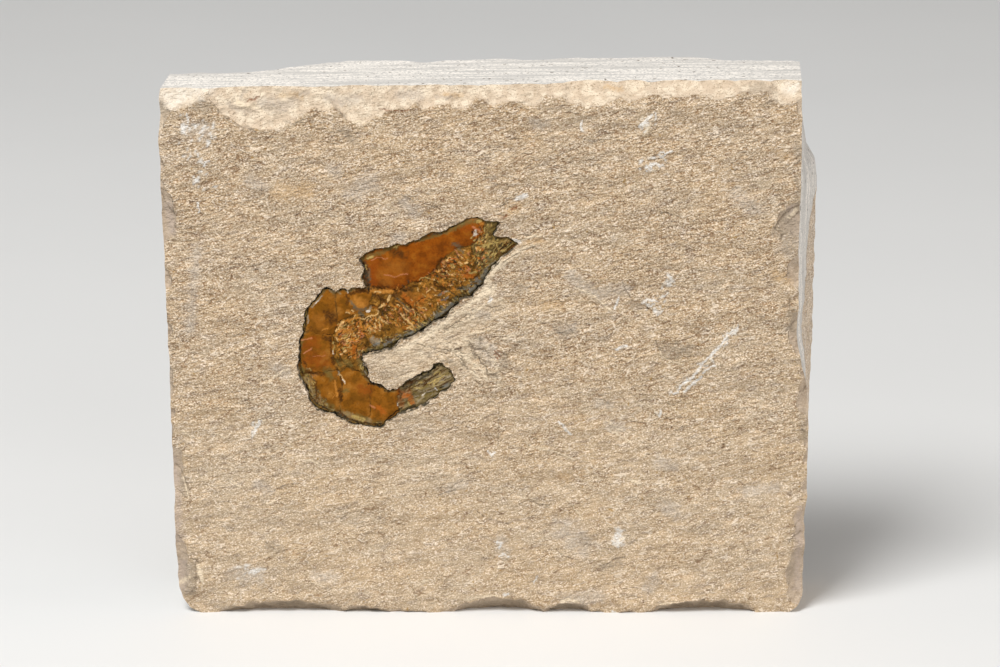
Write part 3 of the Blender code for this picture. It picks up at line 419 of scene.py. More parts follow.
# Marks over the stone's face, in the same form
FACE_MARKS = {
    # Painted shade in the hollows of the top chips
    "hollow_shade": [(0.55, 270, 110, 285, 107, 297, 100), (0.35, 229, 106, 238, 111, 250, 112),
        (0.2, 240, 101, 245, 91), (0.35, 326, 98, 336, 104, 346, 102), (0.2, 350, 99, 362, 100),
        (0.3, 400, 96, 421, 97), (0.2, 436, 99, 452, 98), (0.3, 300, 96, 308, 94)],
    "milk": [(1.2, 166, 96, 184, 94, 207, 87), (0.5, 169, 106, 180, 102), (0.6, 787, 92, 797, 89)],
    "mauve": [(0.7, 172, 462, 177, 500, 178, 540), (0.8, 181, 566, 184, 588), (0.5, 168, 205, 172, 232),
        (0.5, 799, 508, 798, 590), (0.9, 792, 212, 796, 232)],
    "fleck": [(0.15, 187, 114, 188, 122), (0.23, 182, 125, 184, 132, 186, 126),
        (0.18, 208, 161, 205, 162, 204, 166), (0.14, 198, 203, 199, 212), (0.3, 517, 199, 526, 195),
        (0.18, 646, 168, 656, 163, 660, 166), (0.14, 660, 157, 672, 151), (0.18, 641, 125, 652, 115),
        (0.16, 645, 124, 649, 118), (0.14, 582, 121, 581, 126, 582, 131), (0.2, 253, 436, 260, 422),
        (0.22, 489, 303, 491, 299), (0.14, 619, 298, 615, 309),
        (0.18, 559, 422, 563, 424, 566, 430, 571, 434), (0.26, 668, 275, 673, 281),
        (0.19, 643, 303, 646, 300, 654, 300), (0.27, 655, 309, 657, 313, 661, 311),
        (0.15, 616, 350, 621, 347, 627, 346), (0.16, 673, 394, 678, 392, 681, 385, 690, 380),
        (0.19, 690, 380, 698, 371, 702, 364), (0.18, 702, 364, 720, 346), (0.2, 720, 346, 727, 336),
        (0.24, 732, 332, 737, 329), (0.19, 684, 392, 701, 377), (0.14, 703, 373, 709, 368, 715, 365),
        (0.16, 656, 413, 660, 417, 661, 411), (0.3, 250, 572, 254, 570, 258, 570),
        (0.16, 488, 451, 491, 455, 495, 452), (0.19, 497, 542, 502, 543, 499, 548),
        (0.14, 499, 557, 503, 554, 508, 557), (0.24, 504, 595, 507, 594), (0.14, 534, 584, 537, 576),
        (0.35, 618, 529, 619, 533), (0.43, 616, 539, 618, 542), (0.19, 612, 540, 618, 546),
        (0.16, 612, 611, 620, 613), (0.22, 513, 240, 520, 242)],
    # Painted highlights on lit flake edges, and pale scratches
    "pale": [(0.15, 353, 123, 360, 122, 367, 124), (0.1, 212, 137, 220, 133, 227, 127),
        (0.44, 483, 275, 488, 281), (0.38, 492, 271, 502, 263), (0.15, 504, 261, 518, 250, 526, 246),
        (0.18, 526, 239, 533, 236, 541, 236), (0.12, 575, 288, 593, 295, 611, 311),
        (0.18, 455, 350, 470, 360), (0.12, 468, 363, 480, 365), (0.1, 607, 421, 616, 428, 622, 431),
        (0.1, 612, 432, 631, 442), (0.11, 660, 352, 664, 357, 670, 361, 683, 364),
        (0.12, 647, 404, 658, 415), (0.1, 669, 403, 680, 416), (0.15, 268, 382, 278, 374, 288, 369),
        (0.15, 183, 431, 192, 438), (0.1, 212, 433, 220, 435, 229, 440), (0.12, 183, 477, 189, 498),
        (0.14, 230, 481, 242, 487), (0.12, 262, 498, 268, 504, 275, 500),
        (0.15, 305, 461, 311, 460, 319, 464), (0.16, 197, 566, 202, 581), (0.11, 311, 582, 335, 591),
        (0.12, 530, 446, 556, 452, 575, 460), (0.11, 520, 499, 528, 498, 536, 499),
        (0.09, 566, 498, 583, 519), (0.12, 393, 484, 399, 495), (0.18, 416, 586, 428, 580),
        (0.15, 630, 480, 641, 484), (0.2, 562, 601, 568, 599, 578, 601),
        (0.15, 660, 604, 672, 602, 684, 603), (0.15, 466, 600, 480, 597, 497, 596),
        (0.38, 236, 104, 246, 108, 257, 109), (0.31, 796, 211, 794, 215, 790, 218),
        (0.31, 181, 584, 189, 578), (0.31, 198, 567, 202, 579), (0.35, 400, 350, 426, 337, 440, 327),
        (0.28, 440, 326, 452, 318, 462, 309, 474, 302), (0.25, 478, 298, 485, 291, 490, 282),
        (0.22, 492, 275, 498, 266, 505, 260), (0.25, 505, 262, 524, 249, 533, 245),
        (0.18, 446, 334, 460, 324, 474, 316), (0.16, 478, 309, 492, 302, 502, 299),
        (0.12, 452, 351, 464, 361), (0.15, 462, 363, 480, 379), (0.18, 400, 379, 414, 373),
        (0.15, 470, 335, 488, 330, 504, 322), (0.15, 500, 340, 516, 334)],
    # Cracks and creases, with painted shadow in them and under overhangs
    "dark": [(0.08, 402, 195, 413, 201, 418, 199), (0.07, 424, 203, 440, 209), (0.08, 500, 208, 508, 200),
        (0.06, 552, 149, 554, 138), (0.08, 488, 268, 494, 264),
        (0.08, 503, 262, 520, 252, 529, 248, 537, 246), (0.08, 584, 139, 592, 141, 600, 140),
        (0.1, 660, 214, 666, 213, 672, 216), (0.08, 733, 190, 735, 188, 740, 189),
        (0.08, 747, 206, 752, 207, 757, 211), (0.1, 775, 229, 778, 222, 784, 215, 797, 207),
        (0.12, 783, 234, 780, 240), (0.11, 783, 228, 789, 222, 794, 219),
        (0.08, 534, 280, 539, 284, 536, 289), (0.09, 486, 306, 491, 308, 500, 306),
        (0.07, 622, 281, 625, 289, 632, 301), (0.07, 551, 301, 557, 299, 563, 303),
        (0.09, 541, 323, 549, 323), (0.09, 555, 329, 562, 332, 566, 331), (0.1, 566, 323, 573, 333),
        (0.08, 470, 344, 473, 347, 475, 353, 478, 357), (0.08, 479, 359, 482, 364, 486, 367, 487, 372),
        (0.06, 483, 350, 493, 359), (0.07, 460, 362, 467, 368), (0.14, 458, 350, 463, 354),
        (0.09, 488, 375, 500, 372), (0.06, 475, 380, 483, 386), (0.07, 484, 405, 490, 402, 495, 403),
        (0.05, 499, 412, 498, 446), (0.06, 597, 399, 604, 400, 610, 405), (0.08, 655, 340, 660, 349),
        (0.09, 663, 355, 668, 359, 673, 359, 678, 357), (0.07, 662, 343, 699, 346),
        (0.06, 668, 404, 674, 405, 680, 401), (0.06, 720, 306, 727, 304, 734, 300),
        (0.09, 784, 278, 789, 274), (0.09, 785, 335, 789, 327, 795, 322), (0.09, 790, 299, 789, 305),
        (0.1, 803, 393, 807, 388), (0.07, 799, 425, 805, 432), (0.06, 217, 502, 229, 501),
        (0.06, 274, 491, 285, 485, 296, 483), (0.07, 341, 519, 348, 514, 355, 511, 364, 512),
        (0.08, 265, 543, 276, 550), (0.12, 175, 466, 181, 470, 190, 491), (0.11, 176, 487, 186, 497),
        (0.1, 189, 558, 195, 559, 198, 563), (0.16, 196, 577, 195, 588, 190, 594),
        (0.08, 519, 504, 527, 501, 533, 502, 540, 505, 549, 505), (0.06, 490, 520, 509, 524),
        (0.06, 477, 511, 484, 517), (0.06, 437, 496, 456, 489), (0.06, 451, 487, 462, 481),
        (0.05, 407, 575, 417, 600), (0.08, 556, 549, 562, 555, 578, 560),
        (0.08, 583, 547, 587, 544, 590, 546), (0.1, 600, 566, 607, 564, 614, 560, 625, 557),
        (0.09, 789, 541, 794, 536, 801, 533), (0.08, 794, 527, 800, 521),
        (0.07, 632, 595, 638, 597, 645, 596), (0.09, 165, 326, 169, 331, 170, 337),
        (0.09, 171, 385, 175, 390), (0.09, 161, 194, 166, 205, 175, 216),
        (0.14, 798, 207, 788, 211, 775, 228), (0.1, 789, 217, 794, 219, 799, 213),
        (0.12, 195, 565, 196, 576), (0.08, 444, 331, 466, 316), (0.08, 478, 318, 490, 314),
        (0.09, 494, 312, 506, 308), (0.09, 417, 343, 425, 346), (0.09, 431, 348, 447, 350),
        (0.08, 439, 352, 447, 354), (0.12, 470, 343, 472, 351, 476, 358), (0.08, 484, 349, 492, 358),
        (0.1, 479, 359, 482, 364), (0.09, 486, 367, 488, 376),
        (0.08, 455, 354, 463, 361, 468, 369, 474, 372), (0.07, 472, 377, 480, 385),
        (0.07, 402, 375, 412, 371), (0.07, 440, 374, 450, 368)],
    "hole": [(0.12, 647, 308, 649, 309)],
    "rust": [(0.2, 503, 218, 506, 215), (0.22, 512, 209, 516, 207), (0.12, 495, 351, 500, 357),
        (0.1, 498, 350, 502, 353), (0.11, 494, 355, 498, 359),
        (0.13, 247, 103, 250, 101, 253, 102, 258, 99), (0.07, 380, 110, 392, 111, 418, 109)],
    "ochre": [(0.75, 545, 306, 559, 305), (0.5, 561, 475, 569, 481), (0.5, 778, 152, 788, 158),
        (0.5, 508, 213, 519, 206), (0.5, 540, 240, 527, 243), (1.2, 280, 192, 305, 190),
        (0.6, 775, 275, 788, 282), (0.4, 281, 99, 290, 96, 301, 98), (0.3, 444, 96, 462, 97),
        (0.3, 606, 91, 622, 92)],
    "grey": [(0.9, 186, 130, 208, 132), (0.8, 250, 182, 262, 186), (1.4, 352, 192, 368, 184),
        (0.7, 330, 168, 338, 172), (0.8, 404, 203, 416, 214), (0.6, 394, 240, 402, 238),
        (0.8, 536, 124, 545, 126), (1, 574, 279, 588, 288), (1, 600, 294, 622, 290),
        (0.6, 475, 312, 486, 316), (1, 482, 343, 492, 356), (0.8, 560, 330, 572, 328),
        (0.5, 596, 403, 610, 405), (0.8, 612, 424, 620, 429), (1.1, 738, 195, 752, 208),
        (0.8, 276, 366, 284, 372), (0.7, 258, 484, 270, 492), (0.9, 234, 573, 258, 576),
        (0.8, 318, 576, 334, 578), (1.5, 566, 530, 584, 545), (0.8, 500, 540, 503, 554),
        (0.7, 450, 488, 462, 484), (0.8, 658, 462, 672, 466), (0.8, 648, 590, 654, 578),
        (1, 566, 600, 600, 596), (0.7, 745, 492, 775, 488), (0.9, 665, 505, 673, 512),
        (0.7, 197, 250, 190, 330), (0.7, 259, 106, 268, 104, 284, 109),
        (0.6, 329, 98, 338, 102, 348, 103, 356, 101), (0.6, 400, 97, 409, 96, 419, 97),
        (1.2, 789, 232, 787, 250)],
    # Painted shade in hollows, under overhangs and along the foot, and darker brown-grey patches
    "shade": [(0.5, 516, 289, 526, 290), (0.6, 634, 306, 640, 306), (0.9, 668, 350, 686, 350),
        (0.7, 556, 327, 564, 331), (0.6, 270, 548, 282, 552), (0.7, 606, 567, 618, 564),
        (0.8, 780, 232, 794, 222), (0.9, 790, 248, 796, 232), (0.7, 792, 310, 794, 330),
        (0.8, 180, 478, 184, 490), (1.1, 188, 570, 188, 588), (0.9, 168, 205, 172, 232),
        (0.7, 796, 552, 792, 580), (0.5, 803, 412, 804, 440), (0.6, 340, 128, 352, 140),
        (0.7, 196, 105, 208, 108), (0.16, 229, 107, 256, 114), (0.25, 262, 110, 270, 111, 279, 109),
        (0.18, 330, 101, 346, 119), (0.16, 284, 122, 294, 124, 303, 120),
        (0.14, 218, 111, 228, 120, 240, 126, 254, 129), (0.4, 752, 91, 764, 89, 774, 93),
        (0.4, 766, 101, 776, 103), (1, 790, 216, 782, 226), (0.5, 796, 143, 800, 160),
        (0.5, 798, 180, 800, 204), (0.9, 185, 566, 189, 574), (0.8, 187, 582, 190, 592),
        (0.55, 228, 609, 250, 609, 284, 606, 300, 606, 350, 612, 384, 613), (0.4, 284, 606, 302, 606),
        (0.6, 466, 609, 485, 606, 505, 605, 522, 608), (0.5, 550, 609, 565, 607, 580, 608),
        (0.5, 662, 609, 690, 607, 742, 608), (0.5, 162, 104, 164, 120)],
    "bleached": [(1.6, 384, 360, 396, 370, 406, 371), (1.2, 398, 352, 432, 348), (0.8, 412, 362, 426, 358),
        (1.3, 446, 345, 462, 348, 478, 356), (1.2, 440, 336, 500, 308), (0.9, 458, 364, 474, 376)],
    "umber": [(0.16, 456, 350, 461, 348)],
}

# Crushed shell and stone: seeded flakes strewn near lines. A field is its paints, how many flakes, how far
# from the line they lie, their turn in degrees, their shortest and longest length, and the line's places
CRUMB_SEED = 5
CORE_PAINTS = ["umber"] * 3 + ["gold"] * 3 + ["cream", "orange", "orange", "blush", "straw", "charcoal"]
HEAD_PAINTS = ["umber", "umber", "straw", "olive", "gold", "slate", "straw", "charcoal"]
MARGIN_PAINTS = ["slate", "bluegrey", "straw", "olive", "charcoal", "ash", "umber", "straw", "black", "umber"]
BLADE_PAINTS = ["ash", "umber", "olive", "olive", "umber", "sand", "sand", "straw"]
OUTER_PAINTS = ["olive", "sand", "umber", "straw", "charcoal"]
CRUMBS = [
    (CORE_PAINTS, 240, 1.7, -52.0, (0.15, 0.8), [(-15.5, 45.5), (-12.0, 44.0), (-10.0, 46.0)]),
    (CORE_PAINTS, 60, 1.3, -40.0, (0.1, 0.45), [(-10.5, 46.4), (-6.0, 47.6)]),
    (CORE_PAINTS, 60, 1.1, -60.0, (0.1, 0.5), [(-13.0, 48.6), (-9.0, 49.4), (-6.6, 52.2)]),
    (CORE_PAINTS, 70, 0.8, 80.0, (0.1, 0.4), [(-1.6, 57.4), (-1.4, 51.6)]),
    (OUTER_PAINTS, 110, 0.7, -60.0, (0.1, 0.5), [(-26.0, 36.6), (-25.2, 33.6), (-23.2, 31.0)]),
    (OUTER_PAINTS, 110, 0.7, -20.0, (0.1, 0.5), [(-23.2, 30.6), (-20.0, 28.9), (-15.4, 28.3)]),
    (CORE_PAINTS, 300, 2.1, -30.0, (0.1, 0.4), [(-6.5, 50.0), (-3.6, 52.4)]),
    (CORE_PAINTS, 260, 1.9, 35.0, (0.15, 0.7), [(-20.0, 43.0), (-19.6, 39.5)]),
    (CORE_PAINTS, 120, 1.2, -60.0, (0.15, 0.6), [(-18.0, 43.0), (-15.5, 43.6)]),
    (HEAD_PAINTS, 170, 1.9, 45.0, (0.1, 0.5), [(-1.6, 52.0), (-0.6, 57.4)]),
    (HEAD_PAINTS, 60, 0.7, 38.0, (0.2, 0.9), [(0.0, 53.6), (2.8, 55.3)]),
    (MARGIN_PAINTS, 520, 0.8, -20.0, (0.1, 0.45),
     [(-17.0, 39.9), (-13.6, 41.1), (-10.4, 42.3), (-7.4, 44.7), (-4.6, 46.9), (-2.2, 49.7)]),
    (MARGIN_PAINTS, 60, 0.6, -70.0, (0.1, 0.4), [(-18.2, 39.4), (-17.9, 36.2)]),
    (BLADE_PAINTS, 80, 1.3, 30.0, (0.4, 2.2), [(-11.0, 33.2), (-6.0, 36.6)]),
    (BLADE_PAINTS, 25, 0.8, 30.0, (0.4, 1.8), [(-10.4, 31.5), (-8.0, 33.0)]),
]
STONE_CRUMBS = [
    (["fleck"], 34, 1.9, 60.0, (0.2, 0.7), [(-42.0, 72.6), (-38.6, 70.6)]),
    (["fleck"], 26, 1.6, -30.0, (0.2, 0.7), [(-41.8, 69.0), (-39.6, 63.0)]),
    (["fleck", "fleck", "pale"], 24, 1.3, 20.0, (0.2, 0.9), [(21.6, 66.6), (23.6, 67.4)]),
    (["fleck", "pale"], 20, 1.2, 60.0, (0.2, 0.8), [(21.0, 72.0), (22.0, 73.4)]),
    (["fleck", "pale"], 26, 0.7, 48.0, (0.4, 1.4), [(25.8, 33.4), (34.4, 42.6)]),
    (["fleck"], 20, 1.1, -20.0, (0.2, 0.8), [(22.6, 45.6), (25.0, 50.2)]),
    (["fleck", "pale"], 18, 1.2, 20.0, (0.2, 0.8), [(17.6, 10.6), (18.6, 12.6)]),
    (["fleck", "grey"], 26, 2.2, 10.0, (0.2, 0.8), [(-36.0, 5.6), (-33.2, 6.4)]),
    (["fleck", "pale"], 14, 0.8, 70.0, (0.3, 0.9), [(-33.6, 27.2), (-32.4, 29.6)]),
    (["pale", "pale", "dark", "shade"], 130, 2.6, -28.0, (0.3, 1.5),
     [(-9.0, 38.5), (-3.0, 39.5), (2.0, 36.0)]),
    (["pale", "pale", "shade"], 70, 1.1, 32.0, (0.4, 1.8), [(-9.6, 41.6), (-3.6, 45.6), (0.4, 49.0)]),
]
CRUMB_WIDTHS = (0.055, 0.115)
STONE_CRUMB_WIDTHS = (0.08, 0.16)
CRUMB_SWING = 1.3             # how far flakes turn together, by noise of the next size
SWING_SIZE = 1.8
SWING_SEED = 161.0
CRUMB_SCATTER = 0.3           # how far each flake turns on its own
CRUMB_BEND = 0.4
LINE_END = 1.001              # keeps a flake's place short of the end of its line
BROAD = 0.5                   # marks at least this half width lie under the flakes
RAGGED_SHARE = 0.9            # lump size of a mark's ragged edge, as a share of its half width
RAGGED_LEAST = 0.16
RAGGED_SEED = 151.0
MARK_REACH = 2.0              # how far a mark can reach from its middle line, in half widths
SOFT_FINE = 0.3               # softness of a fine mark's edge, as a share of its half width
SOFT_MORE = 0.5               # what broad marks have more
SOFT_WIDTHS = (0.15, 0.5)


def ease(low, high, value):
    """A smooth step from 0 at low to 1 at high."""
    share = np.clip((value - low) / (high - low), 0.0, 1.0)
    return share * share * (3.0 - 2.0 * share)


def polar(turn):
    return math.cos(turn), math.sin(turn)


def read(profile, place):
    return np.interp(place, *np.array(profile).T)


def lumps(points, size, seed=0.0, stretch=1.0, turn=0.0):
    """Noise, mostly from -0.6 to 0.6, in lumps of a size, longer along a direction turned from +X."""
    along = (points @ (math.cos(turn), math.sin(turn))) / (size * stretch)
    across = (points @ (-math.sin(turn), math.cos(turn))) / size
    return np.array([noise.noise((a, seed, b)) for a, b in zip(along.tolist(), across.tolist())])


def folds(points, size, seed, stretch, turn):
    """Sharp-crested folds, from 0 to 1."""
    return np.clip(1.0 - FOLD_SHARPNESS * np.abs(lumps(points, size, seed, stretch, turn)), 0.0, 1.0)


def grain(points, rows):
    """Roughness added up from its rows."""
    return sum(height * lumps(points, *shape) for *shape, height in rows)


def wavered(points, rows):
    """The points moved a little by noise, so that straight outlines read at them come out uneven."""
    moved = points.copy()
    for size, seed_x, seed_z, reach in rows:
        moved += reach * np.stack([lumps(points, size, seed_x), lumps(points, size, seed_z)], 1)
    return moved


def nearest(points, line):
    """The way from a line of points to each of many points: its length, and the way itself."""
    best = np.full(len(points), np.inf)
    way = np.zeros((len(points), 2))
    for start, end in zip(line, line[1:]):
        span = end - start
        share = np.clip((points - start) @ span / (span @ span), 0.0, 1.0)
        step = points - start - share[:, None] * span
        length = np.hypot(step[:, 0], step[:, 1])
        closer = length < best
        best[closer] = length[closer]
        way[closer] = step[closer]
    return best, way


def boxed(points, line, reach):
    """Which points lie within reach of the box round a line."""
    return ((points > line.min(0) - reach) & (points < line.max(0) + reach)).all(1)


def inside(points, outline):
    """Which points lie inside an outline."""
    crossings = np.zeros(len(points), int)
    x, z = points.T
    for (ax, az), (bx, bz) in zip(outline, np.roll(outline, -1, 0)):
        if az == bz:
            continue
        between = (az > z) != (bz > z)
        crossings += between & (ax + (z - az) / (bz - az) * (bx - ax) > x)
    return crossings % 2 == 1


def on_plane(places, plane):
    """Where the camera's sight lines through picture places, x and y by turns, meet a plane at one depth."""
    across, down = np.array(places, float).reshape(-1, 2).T
    reach = PICTURE[0] * LENS / SENSOR
    across = (across - 0.5 * PICTURE[0]) / reach
    rise = (0.5 * PICTURE[1] - down) / reach
    forward = math.cos(ELEVATION) + rise * math.sin(ELEVATION)
    upward = rise * math.cos(ELEVATION) - math.sin(ELEVATION)
    length = (plane - TARGET[1] + DISTANCE * math.cos(ELEVATION)) / forward
    height = TARGET[2] + DISTANCE * math.sin(ELEVATION) + length * upward
    return np.stack([TARGET[0] + length * across, height], 1).ravel().tolist()


def placed(marks, plane):
    """Marks with their places on a plane, x and z by turns, in millimetres."""
    return {kind: [(half_width, *on_plane(places, plane)) for half_width, *places in group]
            for kind, group in marks.items()}


def flake(draw, line, spread, turn, lengths, widths):
    """One seeded flake near a line, in the form of a mark: its half width, and three places along it."""
    part = draw.uniform(0.0, len(line) - LINE_END)
    start, end = line[int(part)], line[int(part) + 1]
    middle = start + (end - start) * (part % 1.0)
    middle = middle + spread * math.sqrt(draw.random()) * np.array(polar(draw.uniform(0.0, math.tau)))
    swing = CRUMB_SWING * noise.noise((middle[0] / SWING_SIZE, SWING_SEED, middle[1] / SWING_SIZE))
    swing += draw.gauss(0.0, CRUMB_SCATTER)
    half = 0.5 * draw.uniform(*lengths)
    step = half * np.array(polar(math.radians(turn) + swing))
    bend = draw.uniform(-CRUMB_BEND, CRUMB_BEND) * np.array([-step[1], step[0]])
    return (draw.uniform(*widths), *(middle - step), *(middle + bend), *(middle + step))


def crumbs(fields, widths):
    """Seeded flakes in their fields, in the form of marks."""
    draw = random.Random(CRUMB_SEED)
    marks = {}
    for paints, count, spread, turn, lengths, places in fields:
        for _ in range(count):
            stroke = flake(draw, np.array(places), spread, turn, lengths, widths)
            marks.setdefault(draw.choice(paints), []).append(stroke)
    return marks


def paint(points, marks):
    """Marks over points, broad ones first: their colour and cover, and the height they add."""
    colour = np.zeros((len(points), 4))
    lift = np.zeros(len(points))
    points = wavered(points, MARK_WAVER)
    strokes = [(kind, *stroke) for kind, group in marks.items() for stroke in group]
    for kind, half_width, *places in sorted(strokes, key=lambda stroke: -stroke[1]):
        line = np.array(places).reshape(-1, 2)
        near = boxed(points, line, MARK_REACH * half_width)
        if not near.any():
            continue
        spot = points[near]
        ragged = lumps(spot, max(RAGGED_SHARE * half_width, RAGGED_LEAST), RAGGED_SEED)
        gap = nearest(spot, line)[0] + half_width * ragged
        tint, cover, height = PAINTS[kind]
        soft = SOFT_FINE + SOFT_MORE * ease(*SOFT_WIDTHS, half_width)
        share = cover * ease((1.0 + soft) * half_width, (1.0 - soft) * half_width, gap)
        colour[near] += share[:, None] * ((*tint, 1.0) - colour[near])
        lift[near] += share * (height - lift[near])
    return colour, lift


def layered(points, marks, flakes):
    """Broad marks, flakes over them and fine marks on top: colour and cover, and the height they add."""
    colour = np.zeros((len(points), 4))
    lift = np.zeros(len(points))
    broad = {kind: [stroke for stroke in group if stroke[0] >= BROAD] for kind, group in marks.items()}
    fine = {kind: [stroke for stroke in group if stroke[0] < BROAD] for kind, group in marks.items()}
    for layer in (broad, flakes, fine):
        over, rise = paint(points, layer)
        colour = colour * (1.0 - over[:, 3:]) + over
        lift = lift * (1.0 - over[:, 3]) + rise
    return colour, lift


def gap_to(points, outline):
    """Distance from an uneven outline, less than 0 inside it, and the unit way outwards."""
    closed = np.vstack([outline, outline[:1]])
    moved = wavered(points, RIM_WAVER)
    gap, way = nearest(moved, closed)
    outwards = way / np.maximum(gap, 1e-9)[:, None]
    within = inside(moved, outline)
    return np.where(within, -gap, gap), np.where(within[:, None], -outwards, outwards)


def snap(points, outline, growth, reach):
    """Move the points within reach of the grown outline onto it; give the gaps after that."""
    gap, _ = gap_to(points, outline)
    near = np.flatnonzero(np.abs(gap - growth) < reach)
    for _ in range(SNAP_ROUNDS):
        gap_near, outwards = gap_to(points[near], outline)
        points[near] -= (gap_near - growth)[:, None] * outwards
    gap[near] = growth
    return gap - growth


def outline_of(node, level):
    """The outline, in order, of a solid's flat part at one depth: (x, z) points in millimetres."""
    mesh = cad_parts[node].data
    edges = set()
    for polygon in mesh.polygons:
        corners = [mesh.vertices[index].co / MM for index in polygon.vertices]
        if any(abs(corner.y - level) > LEVEL_SLACK for corner in corners):
            continue
        keys = [(round(corner.x, 2), round(corner.z, 2)) for corner in corners]
        for start, end in zip(keys, keys[1:] + keys[:1]):
            if (end, start) in edges:
                edges.remove((end, start))
            else:
                edges.add((start, end))
    following = dict(edges)
    outline = [min(following)]
    while following[outline[-1]] != outline[0]:
        outline.append(following[outline[-1]])
    return np.array(outline)


BED_OUTLINE = outline_of("limestone_slab", FACE_Y + BED_DEPTH)


def top_height(x):
    return HEIGHT_LEFT + (HEIGHT_RIGHT - HEIGHT_LEFT) * (x + HALF_WIDTH) / (2.0 * HALF_WIDTH)


def chip_hollow(along, inward, half_width, face_reach, side_reach):
    """A chip's depth at places given along its edge and in from it: part of a stretched ball."""
    radius = math.hypot(CHIP_HOLLOW, 1.0 + CHIP_HOLLOW)
    spread = math.sqrt(radius ** 2 - 2.0 * CHIP_HOLLOW ** 2)
    room = radius ** 2 - (along * spread / half_width) ** 2 - (inward / face_reach + CHIP_HOLLOW) ** 2
    return side_reach * np.maximum(np.sqrt(np.maximum(room, 0.0)) - CHIP_HOLLOW, 0.0)


def nibbles():
    """Seeded nibbles for the four edges: (edge, place, half width, face reach, side reach)."""
    draw = random.Random(NIBBLE_SEED)
    chips = []
    for _ in range(NIBBLES):
        edge = draw.choice(NIBBLE_EDGES)
        place = draw.uniform(*NIBBLE_PLACES[edge])
        width = draw.uniform(*NIBBLE_WIDTHS)
        reaches = width * draw.uniform(*NIBBLE_FACE_REACH), width * draw.uniform(*NIBBLE_SIDE_REACH)
        chips.append((edge, place, width, *reaches))
    return chips


def chip_depth(points):
    """How deep the chips round the face go at (x, z) points."""
    x, z = wavered(points, CHIP_WAVER).T
    true_x, true_z = points.T
    ways_in = {
        "top": (x, top_height(true_x) - z),
        "foot": (x, z),
        "left": (z, x - read(FACE_LEFT, true_z)),
        "right": (z, read(FACE_RIGHT, true_z) - x),
    }
    depth = np.zeros(len(points))
    for edge, place, *size in nibbles() + [(edge, *chip) for edge, group in CHIPS.items() for chip in group]:
        along, inward = ways_in[edge]
        depth = np.maximum(depth, chip_hollow(along - place, np.maximum(inward, 0.0), *size))
    return depth


def face_depth(points, gap):
    """Depth of the stone's face, and of the chips in it. The gap is each point's distance from the bed."""
    chips = chip_depth(points)
    whole = 1.0 - ease(0.0, CHIP_EDGE, chips)
    depth = FACE_SWELL * lumps(points, SWELL_SIZE)
    depth -= grain(points, FACE_GRAIN) * (GRAIN_IN_CHIPS + (1.0 - GRAIN_IN_CHIPS) * whole)
    depth += chips + (1.0 - whole) * grain(points, CHIP_GRAIN)
    depth += BED_LIP * ease(0.0, -LIP_WIDTH, gap)
    depth += (BED_DEPTH - BED_LIP) * ease(-LIP_WIDTH, -BED_FLOOR, gap)
    return depth, chips


def back_depth(points):
    """The broken back, with more lumps and ledges than its solid has."""
    x, z = points.T
    share = z / top_height(x)
    turn = ease(*BACK_BREAK, share)
    depth = read(BACK_FOOT, x) * (1.0 - turn) + read(BACK_TOP, x) * turn
    swell = lumps(points, SWELL_SIZE, BACK_CUTS[0] / SWELL_SIZE)
    swell += BACK_LUMP_SHARE * lumps(points, BACK_LUMP_SIZE, BACK_CUTS[1] / BACK_LUMP_SIZE)
    swell -= LEDGE_HEIGHT * sum(ease(*rise, lumps(points, *shape)) for rise, shape in BACK_LEDGES)
    depth += BACK_SWELL * swell * 4.0 * share * (1.0 - share)
    depth -= BACK_FOLD_HEIGHT * folds(points, *BACK_FOLDS) * share
    return depth + grain(points, BACK_GRAIN)


def face_places():
    """The face's flat grid of (x, z), rows from the foot up."""
    shares = np.linspace(0.0, 1.0, FACE_ROWS + 1)
    level = shares * HEIGHT_LEFT
    along = np.stack([level, level * 0.0], 1)
    left = read(FACE_LEFT, level) + grain(along, LEFT_GRAIN)
    right = read(FACE_RIGHT, level) + grain(along, RIGHT_GRAIN)
    x = left[:, None] + (right - left)[:, None] * np.linspace(0.0, 1.0, FACE_COLUMNS + 1)
    return np.stack([x, shares[:, None] * top_height(x)], 2)


def back_places(shares_x, shares_z):
    """Flat places on the back, from shares of its width and its height."""
    level = shares_z * HEIGHT_LEFT
    left, right = read(BACK_LEFT, level), read(BACK_RIGHT, level)
    x = left + (right - left) * shares_x
    return np.stack([x, shares_z * top_height(x)], -1)


def on_back(shares_x, shares_z):
    """Points of the back, from shares of its width and its height."""
    flat = back_places(shares_x, shares_z)
    return np.stack([flat[:, 0], back_depth(flat), flat[:, 1]], 1)


def border(columns, rows):
    """The grid's border once round from the foot's left corner: (row, column) and a place from 0 to 4."""
    foot = [(0, c, c / columns) for c in range(columns)]
    right = [(r, columns, 1.0 + r / rows) for r in range(rows)]
    top = [(rows, c, 2.0 + (columns - c) / columns) for c in range(columns, 0, -1)]
    left = [(r, 0, 3.0 + (rows - r) / rows) for r in range(rows, 0, -1)]
    return foot + right + top + left


def grid_faces(columns, rows, first, turned=False):
    """Quads of a grid whose points are numbered row by row from first."""
    faces = []
    width = columns + 1
    for row in range(rows):
        for column in range(columns):
            corner = first + row * width + column
            quad = (corner, corner + 1, corner + width + 1, corner + width)
            faces.append(quad[::-1] if turned else quad)
    return faces


def stitch(outer, inner):
    """Triangles between two rings of (index, place), each place from 0 to 4."""
    faces = []
    i = j = 0
    outer_ends = [place for _, place in outer[1:]] + [4.0]
    inner_ends = [place for _, place in inner[1:]] + [4.0]
    while i < len(outer) or j < len(inner):
        a, b = outer[i % len(outer)][0], inner[j % len(inner)][0]
        if j == len(inner) or (i < len(outer) and outer_ends[i] <= inner_ends[j]):
            faces.append((a, outer[(i + 1) % len(outer)][0], b))
            i += 1
        else:
            faces.append((a, inner[(j + 1) % len(inner)][0], b))
            j += 1
    return faces


